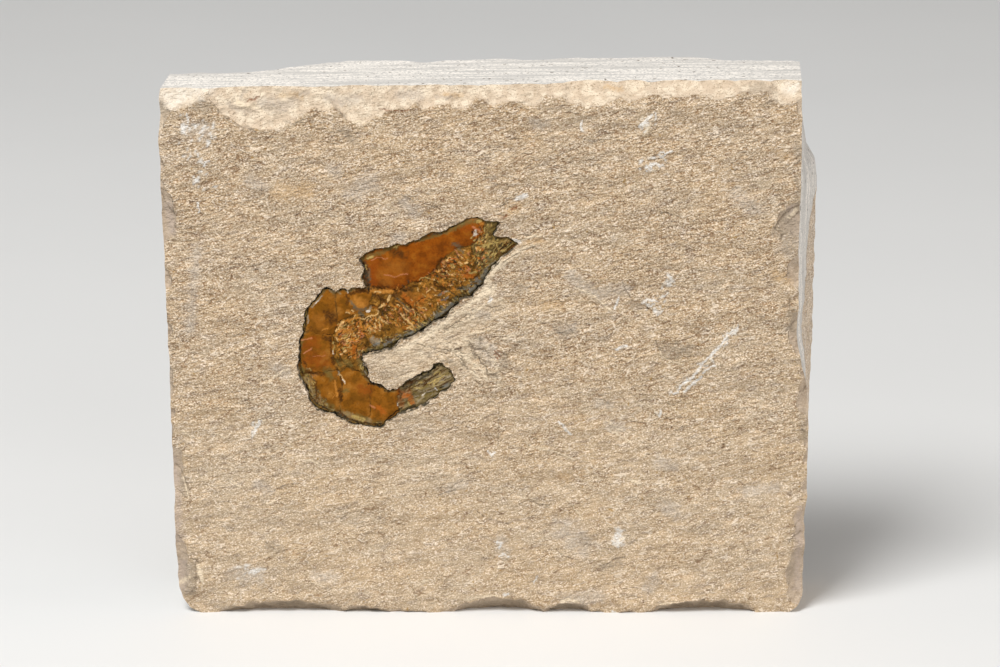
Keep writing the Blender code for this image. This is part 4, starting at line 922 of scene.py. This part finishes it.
def side_rings(rim, places):
    """Rings of points from the face's displaced rim to the back's, over the four sawn sides."""
    shares = np.array(places)
    side = np.floor(shares).astype(int)
    part = shares - side
    none, full = 0.0 * part, 1.0 + 0.0 * part
    shares_x = np.choose(side, [part, full, 1.0 - part, none])
    shares_z = np.choose(side, [none, part, full, 1.0 - part])
    end = on_back(shares_x, shares_z)
    return [rim + (end - rim) * (ring / SIDE_RINGS) for ring in range(1, SIDE_RINGS + 1)]


def slab_mesh():
    """The slab's verts and faces before its face gets relief, its face's count of verts, and materials."""
    flat = face_places().reshape(-1, 2)
    verts = [np.stack([flat[:, 0], np.full(len(flat), FACE_Y), flat[:, 1]], 1)]
    faces = grid_faces(FACE_COLUMNS, FACE_ROWS, 0)
    materials = [FACE] * len(faces)
    loop = border(FACE_COLUMNS, FACE_ROWS)
    numbers = [row * (FACE_COLUMNS + 1) + column for row, column, _ in loop]
    along = [place for _, _, place in loop]
    edge = flat[numbers]
    depth, _ = face_depth(edge, np.full(len(edge), FAR))
    count = len(flat)
    for ring in side_rings(np.stack([edge[:, 0], FACE_Y + depth, edge[:, 1]], 1), along):
        verts.append(ring)
        following = list(range(count, count + len(ring)))
        for k in range(len(ring)):
            n = (k + 1) % len(ring)
            faces.append((numbers[n], numbers[k], following[k], following[n]))
        numbers = following
        count += len(ring)
    materials += [SIDE] * (len(faces) - len(materials))
    inset = zip(BACK_INSET, (BACK_COLUMNS, BACK_ROWS))
    shares_x, shares_z = np.meshgrid(*[np.linspace(start, 1.0 - start, cells + 1) for start, cells in inset])
    verts.append(on_back(shares_x.ravel(), shares_z.ravel()))
    back_loop = border(BACK_COLUMNS, BACK_ROWS)
    inner = [(count + row * (BACK_COLUMNS + 1) + column, place) for row, column, place in back_loop]
    faces += [face[::-1] for face in stitch(list(zip(numbers, along)), inner)]
    faces += grid_faces(BACK_COLUMNS, BACK_ROWS, count, turned=True)
    return np.vstack(verts), faces, len(flat), materials + [BACK] * (len(faces) - len(materials))


def mesh_from(name, verts, faces):
    mesh = bpy.data.meshes.new(name)
    mesh.from_pydata((np.asarray(verts) * MM).tolist(), [], faces)
    mesh.validate()
    return mesh


def points_of(mesh):
    flat = np.zeros(len(mesh.vertices) * 3)
    mesh.vertices.foreach_get("co", flat)
    return flat.reshape(-1, 3) / MM


def set_points(mesh, points):
    mesh.vertices.foreach_set("co", (points * MM).ravel())
    mesh.update()


def set_attribute(mesh, name, values):
    layer = mesh.attributes.new(name, "FLOAT", "POINT")
    layer.data.foreach_set("value", np.asarray(values, np.float32))


def set_paint(mesh, colour):
    """Keep painted colour, which comes multiplied by its cover, on the mesh's points."""
    colour = np.hstack([colour[:, :3] / np.maximum(colour[:, 3:], 1e-6), colour[:, 3:]])
    layer = mesh.attributes.new("marks", "FLOAT_COLOR", "POINT")
    layer.data.foreach_set("color", np.asarray(colour, np.float32).ravel())


def refine(mesh, lines):
    """Halve the face's cells near lines, each given as a half width and its points."""
    data = bmesh.new()
    data.from_mesh(mesh)
    on_face = [f for f in data.faces if f.material_index == FACE]
    centres = np.array([(f.calc_center_median().x, f.calc_center_median().z) for f in on_face]) / MM
    fine = np.zeros(len(on_face), bool)
    for reach, line in lines:
        near = boxed(centres, line, reach)
        if near.any():
            fine[near] |= nearest(centres[near], line)[0] < reach
    edges = {edge for f, near in zip(on_face, fine) if near for edge in f.edges}
    bmesh.ops.subdivide_edges(data, edges=sorted(edges, key=lambda e: e.index), cuts=1, use_grid_fill=True)
    data.to_mesh(mesh)
    data.free()


def fine_lines(widest, margin):
    """The face's narrow marks, with how far from each the cells are halved."""
    strokes = [stroke for group in FACE_STROKES.values() for stroke in group if stroke[0] <= widest]
    return [(half_width + margin, np.array(places).reshape(-1, 2)) for half_width, *places in strokes]


def among_all(values, chosen, count, rest):
    """Values of the chosen points, set among those of all points."""
    every = np.full((count, *np.shape(values)[1:]), rest)
    every[chosen] = values
    return every


def sawn_gap(points):
    """How far points of the right side lie inside its sawn part, less than 0 where it is broken."""
    gap = read(RIGHT_SAWN, points[:, 2]) - (points[:, 1] - FACE_Y)
    return np.where(points[:, 0] > read(FACE_RIGHT, points[:, 2]) - RIGHT_REACH, gap, FAR)


def roughen_side(points, chosen, gap):
    """Press relief into the chosen points of the right side's broken part."""
    hollow = BROKEN_DEPTH + grain(points[chosen][:, 1:], BROKEN_GRAIN)
    points[chosen, 0] -= hollow * ease(0.0, BROKEN_START, -gap[chosen])


def slab_piece():
    """The dressed slab: its flat face is refined near marks, and then gets its relief and its paint."""
    verts, faces, face_count, materials = slab_mesh()
    mesh = mesh_from("slab", verts, faces)
    for material in (FACE_LOOK, SAWN_LOOK, BACK_LOOK):
        mesh.materials.append(material)
    mesh.polygons.foreach_set("material_index", materials)
    rim = [(FINE_BAND, np.vstack([BED_OUTLINE, BED_OUTLINE[:1]]))]
    refine(mesh, rim + fine_lines(*FINE_MARKS))
    refine(mesh, fine_lines(*FINEST_MARKS))
    points = points_of(mesh)
    number = np.arange(len(points))
    of_sides = (number >= face_count) & (number < len(verts))
    front = np.flatnonzero(~of_sides)
    flat = points[front][:, [0, 2]]
    gap = snap(flat, BED_OUTLINE, -BED_RIM, SNAP_SHARE * HEIGHT_LEFT / FACE_ROWS)
    depth, chips = face_depth(flat, gap)
    colour, lift = layered(flat, FACE_STROKES, FACE_FLAKES)
    points[front] = np.stack([flat[:, 0], FACE_Y + depth - lift, flat[:, 1]], 1)
    sawn = sawn_gap(points)
    roughen_side(points, np.flatnonzero((sawn < 0.0) & of_sides), sawn)
    set_points(mesh, points)
    fresh = chips * (2.0 * ease(*FRESH_HEIGHTS, flat[:, 1]) - 1.0)
    set_attribute(mesh, "fresh", among_all(fresh, front, len(points), 1.0))
    set_attribute(mesh, "bed_gap", among_all(gap, front, len(points), FAR))
    set_attribute(mesh, "sawn", sawn)
    set_paint(mesh, among_all(colour, front, len(points), 0.0))
    return finish_piece("slab_of_limestone", mesh, ["limestone_slab"], SLAB_SHARP)


def add_to_scene(obj):
    bpy.context.scene.collection.objects.link(obj)
    return obj


def finish_piece(name, mesh, nodes, sharp):
    mesh.shade_smooth()
    mesh.set_sharp_from_angle(angle=math.radians(sharp))
    obj = add_to_scene(bpy.data.objects.new(name, mesh))
    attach(obj, "root")
    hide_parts(*nodes)
    return obj


def plate_height(kind, crown, points, gap):
    """Height of a plate's surface over its rim."""
    height = crown * (2.0 * ease(-RIM_ROUND, RIM_ROUND, -gap) - 1.0)
    inner = ease(0.0, PLATE_INNER, -gap)
    if kind not in CRUSHED:
        return height + inner * grain(points, SMOOTH_GRAIN)
    shape, fold_height, rows = CRUSHED[kind]
    return height + fold_height * inner * folds(points, *shape) + grain(points, rows)


def drop(gap, depth, width):
    """How far a surface falls towards an edge."""
    return depth * (1.0 - ease(0.0, width, gap))


def plate_grid(outline):
    """Points and faces of a fine grid over a plate, its border drawn in to the plate's outline."""
    low, high = outline.min(0) - GRID_MARGIN, outline.max(0) + GRID_MARGIN
    columns, rows = np.ceil((high - low) / PLATE_CELL).astype(int)
    across, up = low[0] + PLATE_CELL * np.arange(columns + 1), low[1] + PLATE_CELL * np.arange(rows + 1)
    x, z = np.meshgrid(across, up)
    points = np.stack([x.ravel(), z.ravel()], 1)
    gap = snap(points, outline, PLATE_GROWTH, PLATE_SNAP * PLATE_CELL)
    kept = gap <= 1e-6
    faces = []
    for face in grid_faces(columns, rows, 0):
        corners = [corner for corner in face if kept[corner]]
        if len(corners) >= 3 and any(gap[corner] < 0.0 for corner in corners):
            faces.append(corners)
    used = np.zeros(len(points), bool)
    used[[corner for face in faces for corner in face]] = True
    renumber = np.cumsum(used) - 1
    return points[used], gap[used], [[int(renumber[corner]) for corner in face] for face in faces]


def close_plate(mesh):
    """Give a plate's fine surface its sides and its flat underside."""
    data = bmesh.new()
    data.from_mesh(mesh)
    rim = [edge for edge in data.edges if edge.is_boundary]
    grown = bmesh.ops.extrude_edge_only(data, edges=rim)["geom"]
    for item in grown:
        if isinstance(item, bmesh.types.BMVert):
            item.co.y = (FACE_Y + PLATE_BACK) * MM
    lower = [item for item in grown if isinstance(item, bmesh.types.BMEdge) and item.is_boundary]
    bmesh.ops.edgeloop_fill(data, edges=lower)
    bmesh.ops.recalc_face_normals(data, faces=data.faces)
    data.to_mesh(mesh)
    data.free()


def plate_piece(node, kind, crown):
    """One dressed plate of the shrimp."""
    points, gap, faces = plate_grid(outline_of(node, FACE_Y + PLATE_BACK))
    rim_gap = -(gap_to(points, BED_OUTLINE)[0] + BED_RIM)
    colour, lift = layered(points, SHRIMP_STROKES, SHRIMP_FLAKES)
    height = plate_height(kind, crown, points, gap) + lift
    height -= drop(rim_gap, *RIM_DROP) + drop(-gap, *SEAM_DROP)
    verts = np.stack([points[:, 0], FACE_Y + PLATE_RIM - height, points[:, 1]], 1)
    mesh = mesh_from(node, verts, faces)
    set_paint(mesh, colour)
    set_attribute(mesh, "rim_gap", rim_gap)
    set_attribute(mesh, "seam_gap", -gap)
    close_plate(mesh)
    mesh.materials.append(SHELL_LOOKS[kind])
    return finish_piece(f"shrimp_{node}", mesh, [node], PLATE_SHARP)


class Look:
    """A material that is built up by short calls, with places in millimetres."""

    def __init__(self, name, roughness=0.9):
        self.material = bpy.data.materials.new(name)
        self.material.use_nodes = True
        self.tree = self.material.node_tree
        self.shader = self.tree.nodes["Principled BSDF"]
        self.shader.inputs["Roughness"].default_value = roughness
        coordinates = self.tree.nodes.new("ShaderNodeTexCoord")
        inputs = {0: coordinates.outputs["Object"], "Scale": 1.0 / MM}
        self.place = self.add("VectorMath", inputs, operation="SCALE").outputs[0]

    def add(self, kind, inputs, **settings):
        node = self.tree.nodes.new("ShaderNode" + kind)
        for name, value in settings.items():
            setattr(node, name, value)
        for name, value in inputs.items():
            if isinstance(value, bpy.types.NodeSocket):
                self.tree.links.new(value, node.inputs[name])
            else:
                node.inputs[name].default_value = value
        return node

    def drawn(self, turn, scale):
        """Places turned by three angles and then scaled along each axis."""
        mapping = {"Vector": self.place, "Rotation": turn}
        turned = self.add("Mapping", mapping, vector_type="POINT").outputs[0]
        return self.add("VectorMath", {0: turned, 1: scale}, operation="MULTIPLY").outputs[0]

    def turned(self, turn, stretch):
        """Places turned in the face's plane and drawn out along the turned direction."""
        return self.drawn((0.0, turn, 0.0), (1.0 / stretch, 1.0, 1.0))

    def noise(self, size, detail=2.0, place=None):
        """Noise from about 0.3 to 0.7, with lumps of a size in millimetres."""
        inputs = {"Vector": place or self.place, "Scale": 1.0 / size, "Detail": detail}
        return self.add("TexNoise", inputs).outputs["Fac"]

    def attribute(self, name):
        return self.add("Attribute", {}, attribute_name=name).outputs["Fac"]

    def marked(self, colour, ragged):
        """The colour under the marks that were painted on the mesh, with their cover broken up."""
        marks = self.add("Attribute", {}, attribute_name="marks")
        broken = self.step(self.noise(0.3, 1.0), 0.40, 0.58, 1.0 - ragged, 1.0)
        return self.mix(self.times(marks.outputs["Alpha"], broken), colour, marks.outputs["Color"])

    def maths(self, operation, a, b=0.0):
        return self.add("Math", {0: a, 1: b}, operation=operation).outputs[0]

    def plus(self, a, b):
        return self.maths("ADD", a, b)

    def times(self, a, b):
        return self.maths("MULTIPLY", a, b)

    def step(self, value, low, high, bottom=0.0, top=1.0):
        """The value eased from bottom to top as it goes from low to high."""
        inputs = {"Value": value, "From Min": low, "From Max": high, "To Min": bottom, "To Max": top}
        return self.add("MapRange", inputs, interpolation_type="SMOOTHSTEP").outputs["Result"]

    def mix(self, share, a, b, blend="MIX"):
        """Colours mixed. A plain colour is three linear values."""
        node = self.add("Mix", {0: share}, data_type="RGBA", blend_type=blend)
        for number, value in ((6, a), (7, b)):
            if isinstance(value, bpy.types.NodeSocket):
                self.tree.links.new(value, node.inputs[number])
            else:
                node.inputs[number].default_value = (*value, 1.0)
        return node.outputs[2]

    def tinted(self, share, colour, tint):
        """A colour multiplied by a tint in some share."""
        return self.mix(share, colour, tint, "MULTIPLY")

    def colour(self, socket):
        self.tree.links.new(socket, self.shader.inputs["Base Color"])

    def bump(self, height):
        """Bump from a height in millimetres."""
        bump = self.add("Bump", {"Height": height, "Distance": MM, "Strength": 1.0})
        self.tree.links.new(bump.outputs[0], self.shader.inputs["Normal"])


def mottle(look, streaks):
    """Broad ochre and grey patches, with smaller pale and shaded ones."""
    broad = look.step(look.noise(7.0, place=look.turned(LEVEL, 2.0)), 0.42, 0.6)
    colour = look.mix(broad, SKIN_GREY, SKIN_OCHRE)
    colour = look.mix(look.step(look.noise(2.2, place=streaks), 0.35, 0.65, 0.3, 0.9), colour, SKIN)
    patch = look.noise(0.9, 1.0, streaks)
    colour = look.tinted(look.step(patch, 0.44, 0.3), colour, PATCH_TINT)
    return look.mix(look.step(patch, 0.56, 0.7, 0.0, 0.5), colour, PATCH_PALE)


def winding(look, place, size, middle, width, broken):
    """Thin winding lines where noise is near a middle value, broken up by noise: (size, low, high)."""
    away = look.maths("ABSOLUTE", look.maths("SUBTRACT", look.noise(size, 1.0, place), middle))
    broken_size, low, high = broken
    return look.times(look.step(away, width, 0.0), look.step(look.noise(broken_size, 1.0), low, high))


def stone_skin(look):
    """The weathered stone: mottled, with painted highlights on its fine light crests and painted shade in its
    dark pits and cracks. Gives colour and height.
    """
    streaks = look.turned(STREAKS, 2.3)
    colour = mottle(look, streaks)
    lively = look.step(look.noise(3.0, 1.0, look.turned(STREAKS, 1.6)), 0.40, 0.60, 0.75, 1.08)
    level = look.add("SeparateXYZ", {0: look.place}).outputs["Z"]
    lively = look.times(lively, look.step(level, *LIVELY_HEIGHTS, *LIVELY_SHARES))
    coarse = look.noise(0.42, 1.0, look.turned(STREAKS, 2.0))
    fine = look.noise(0.18, 1.0, look.turned(STREAKS, 1.4))
    # Painted shade in pits and pores, where the bump is low, and a painted highlight where the fine bump is
    # high
    colour = look.tinted(look.times(look.step(coarse, 0.46, 0.34), lively), colour, PIT_SHADE)
    colour = look.tinted(look.times(look.step(fine, 0.5, 0.34), lively), colour, PORE_SHADE)
    colour = look.mix(look.step(fine, 0.55, 0.68, 0.0, 0.8), colour, GRAIN_HIGHLIGHT)
    # Painted highlight on the raised crest lines, and painted shade in the sunk cracks
    crest = winding(look, streaks, 1.1, 0.5, 0.035, (1.7, 0.5, 0.6))
    colour = look.mix(look.times(crest, 0.6), colour, CREST_HIGHLIGHT)
    crack = winding(look, streaks, 1.4, 0.47, 0.028, (2.1, 0.52, 0.62))
    colour = look.tinted(crack, colour, CRACK_SHADE)
    colour = look.mix(look.step(look.noise(0.7, 1.0), 0.73, 0.80, 0.0, 0.8), colour, RUST_SPOT)
    height = look.plus(look.times(coarse, GRAIN_BUMP), look.times(fine, FINE_BUMP))
    lines = look.times(look.maths("SUBTRACT", crest, crack), CREST_BUMP)
    return colour, look.plus(look.times(height, lively), lines)


def fresh_chips(look):
    """Colour of freshly broken stone."""
    colour = look.mix(look.step(look.noise(1.3), 0.4, 0.62), FRESH, FRESH_PALE)
    colour = look.mix(look.step(look.noise(0.5, place=look.turned(0.1, 2.5)), 0.47, 0.3), colour, FRESH_DULL)
    return look.mix(look.step(look.noise(0.22, 1.0), 0.42, 0.3), colour, FRESH_SPOT)


def face_look():
    """The face: weathered stone with pale and dull chips, its marks, and a darker band along and inside the
    bed's rim.
    """
    look = Look("limestone_face")
    colour, height = stone_skin(look)
    edge = look.plus(look.attribute("fresh"), look.times(look.noise(0.4, 1.0), 0.12))
    fresh = look.step(edge, 0.06, 0.26)
    colour = look.mix(fresh, colour, fresh_chips(look))
    dull = look.step(edge, -0.02, -0.22, 0.0, 0.75)
    dull_chips = look.mix(look.step(look.noise(0.8), 0.35, 0.62), CHIP_DARK, CHIP_DULL)
    colour = look.marked(look.mix(dull, colour, dull_chips), STONE_RAGGED)
    # Darker, in broken patches, along and inside the bed's rim
    rim_darkening = look.step(look.attribute("bed_gap"), 0.09, -0.02)
    rim_darkening = look.times(rim_darkening, look.step(look.noise(0.8), 0.35, 0.6))
    look.colour(look.mix(rim_darkening, colour, BED_RIM_DARK))
    chipped = look.maths("MAXIMUM", fresh, dull)
    look.bump(look.times(height, look.step(chipped, 0.0, 1.0, 1.0, 0.45)))
    return look.material


def sawn_look():
    """The sawn sides: nearly white with long saw lines, and the rough tan part of the right side."""
    look = Look("limestone_sawn")
    colour = SAWN
    for turn, spacing, full, end in SAW_LINES:
        saw = look.noise(spacing, 1.0, look.drawn((0.0, 0.0, turn), SAW_STRETCH))
        colour = look.mix(look.step(saw, end, full, 0.0, 0.6), colour, SAWN_DULL)
    colour = look.mix(look.step(look.noise(0.5), 0.46, 0.3), colour, SAWN_DULL)
    colour = look.mix(look.step(look.noise(0.2, 1.0, look.turned(0.0, 1.8)), 0.52, 0.34), colour, SAWN_DULL)
    colour = look.mix(look.step(look.noise(0.7, 1.0), 0.68, 0.76), colour, SAWN_SPOT)
    broken = look.step(look.plus(look.attribute("sawn"), look.times(look.noise(2.2), 3.0)), 1.7, 1.3)
    skin, height = stone_skin(look)
    look.colour(look.mix(broken, colour, look.tinted(1.0, skin, BROKEN_TINT)))
    look.bump(look.times(height, look.step(broken, 0.0, 1.0, 0.15, 1.0)))
    return look.material


def back_look():
    """The broken back: weathered stone alone."""
    look = Look("limestone_broken")
    colour, height = stone_skin(look)
    look.colour(colour)
    look.bump(height)
    return look.material


def shell_look(kind):
    """The fossil's shell: amber where smooth, golden and speckled where crushed, olive at the tail."""
    dark, middle, light, (patch_size, grain_size, shade, olive, rim, bump) = SHELLS[kind]
    look = Look("fossil_" + kind, 0.45)
    look.shader.inputs["Specular IOR Level"].default_value = GLOSS
    place = look.turned(TAIL_TURN, 6.0) if kind == "streaked" else look.place
    patch = look.noise(patch_size, place=place)
    colour = look.mix(look.step(patch, 0.36, 0.5), dark, middle)
    colour = look.mix(look.step(patch, 0.5, 0.68), colour, light)
    specks = look.noise(grain_size, 1.0, place)
    colour = look.tinted(look.step(specks, 0.5, 0.3), colour, (shade, shade * 0.96, shade * 0.9))
    rim_gap = look.attribute("rim_gap")
    margin = look.plus(rim_gap, look.times(look.noise(0.8), 0.9))
    margin = look.times(look.step(margin, 0.55 + olive, 0.4 + olive * 0.5), 0.7)
    colour = look.mix(margin, colour, SHELL_MARGIN)
    seam = look.step(look.attribute("seam_gap"), 0.2, 0.03)
    seam = look.times(seam, look.step(look.noise(0.9), 0.36, 0.56, 0.1, SEAMS))
    colour = look.marked(look.mix(seam, colour, SHELL_SEAM), SHELL_RAGGED)
    uneven = look.plus(look.times(look.noise(0.5), 0.34), look.times(look.noise(1.5), 1.1))
    colour = look.mix(look.step(look.plus(rim_gap, uneven), rim + 0.1, rim), colour, SHELL_RIM)
    look.colour(colour)
    look.bump(look.times(specks, bump))
    return look.material


def camera():
    obj = add_to_scene(bpy.data.objects.new("camera", bpy.data.cameras.new("camera")))
    obj.data.lens = LENS
    obj.data.clip_end = CLIP_END
    away = Vector((0.0, -math.cos(ELEVATION), math.sin(ELEVATION)))
    obj.location = Vector(TARGET) * MM + away * DISTANCE * MM
    obj.rotation_euler = (math.pi / 2.0 - ELEVATION, 0.0, 0.0)
    bpy.context.scene.camera = obj


def lights():
    """Soft square lights that look at the slab, and the studio's even light."""
    for name, (place, size, power, tint) in LIGHTS.items():
        light = bpy.data.lights.new(name, "AREA")
        light.color = tint
        light.shape = "SQUARE"
        light.size = size
        light.energy = power
        obj = add_to_scene(bpy.data.objects.new(name, light))
        obj.location = place
        obj.rotation_euler = (Vector(TARGET) * MM - Vector(place)).to_track_quat("-Z", "Y").to_euler()
    world = bpy.data.worlds.new("studio")
    bpy.context.scene.world = world
    world.use_nodes = True
    background = world.node_tree.nodes["Background"]
    background.inputs["Color"].default_value = STUDIO
    background.inputs["Strength"].default_value = STUDIO_POWER
    bpy.context.scene.view_settings.view_transform = "Standard"


def floor():
    """A plain pale floor, in metres, that curves up behind the slab."""
    width, front, back, rise, bend, steps = 4.0, -3.0, 1.2, 2.0, 0.6, 16
    line = [(front, 0.0), (back, 0.0)]
    turns = np.linspace(0.1, math.pi / 2.0, steps)
    line += [(back + bend * math.sin(turn), bend - bend * math.cos(turn)) for turn in turns]
    line.append((back + bend, rise))
    verts = [(side * width, y, z) for y, z in line for side in (-1.0, 1.0)]
    faces = [(2 * k, 2 * k + 1, 2 * k + 3, 2 * k + 2) for k in range(len(line) - 1)]
    mesh = bpy.data.meshes.new("floor")
    mesh.from_pydata(verts, [], faces)
    mesh.shade_smooth()
    look = Look("floor", 0.6)
    look.colour(look.mix(look.noise(60.0), FLOOR_DULL, FLOOR_PALE))
    mesh.materials.append(look.material)
    add_to_scene(bpy.data.objects.new("floor", mesh))


FACE_LOOK = face_look()
SAWN_LOOK = sawn_look()
BACK_LOOK = back_look()
SHELL_LOOKS = {kind: shell_look(kind) for kind in SHELLS}

SHRIMP_STROKES = placed(SHRIMP_MARKS, SHELL_Y)
FACE_STROKES = placed(FACE_MARKS, FACE_Y)
SHRIMP_FLAKES = crumbs(CRUMBS, CRUMB_WIDTHS)
FACE_FLAKES = crumbs(STONE_CRUMBS, STONE_CRUMB_WIDTHS)

camera()
lights()
floor()
slab_piece()
for node_name, (plate_kind, plate_crown, plate_slot) in PLATES.items():
    plate_piece(node_name, plate_kind, plate_crown)
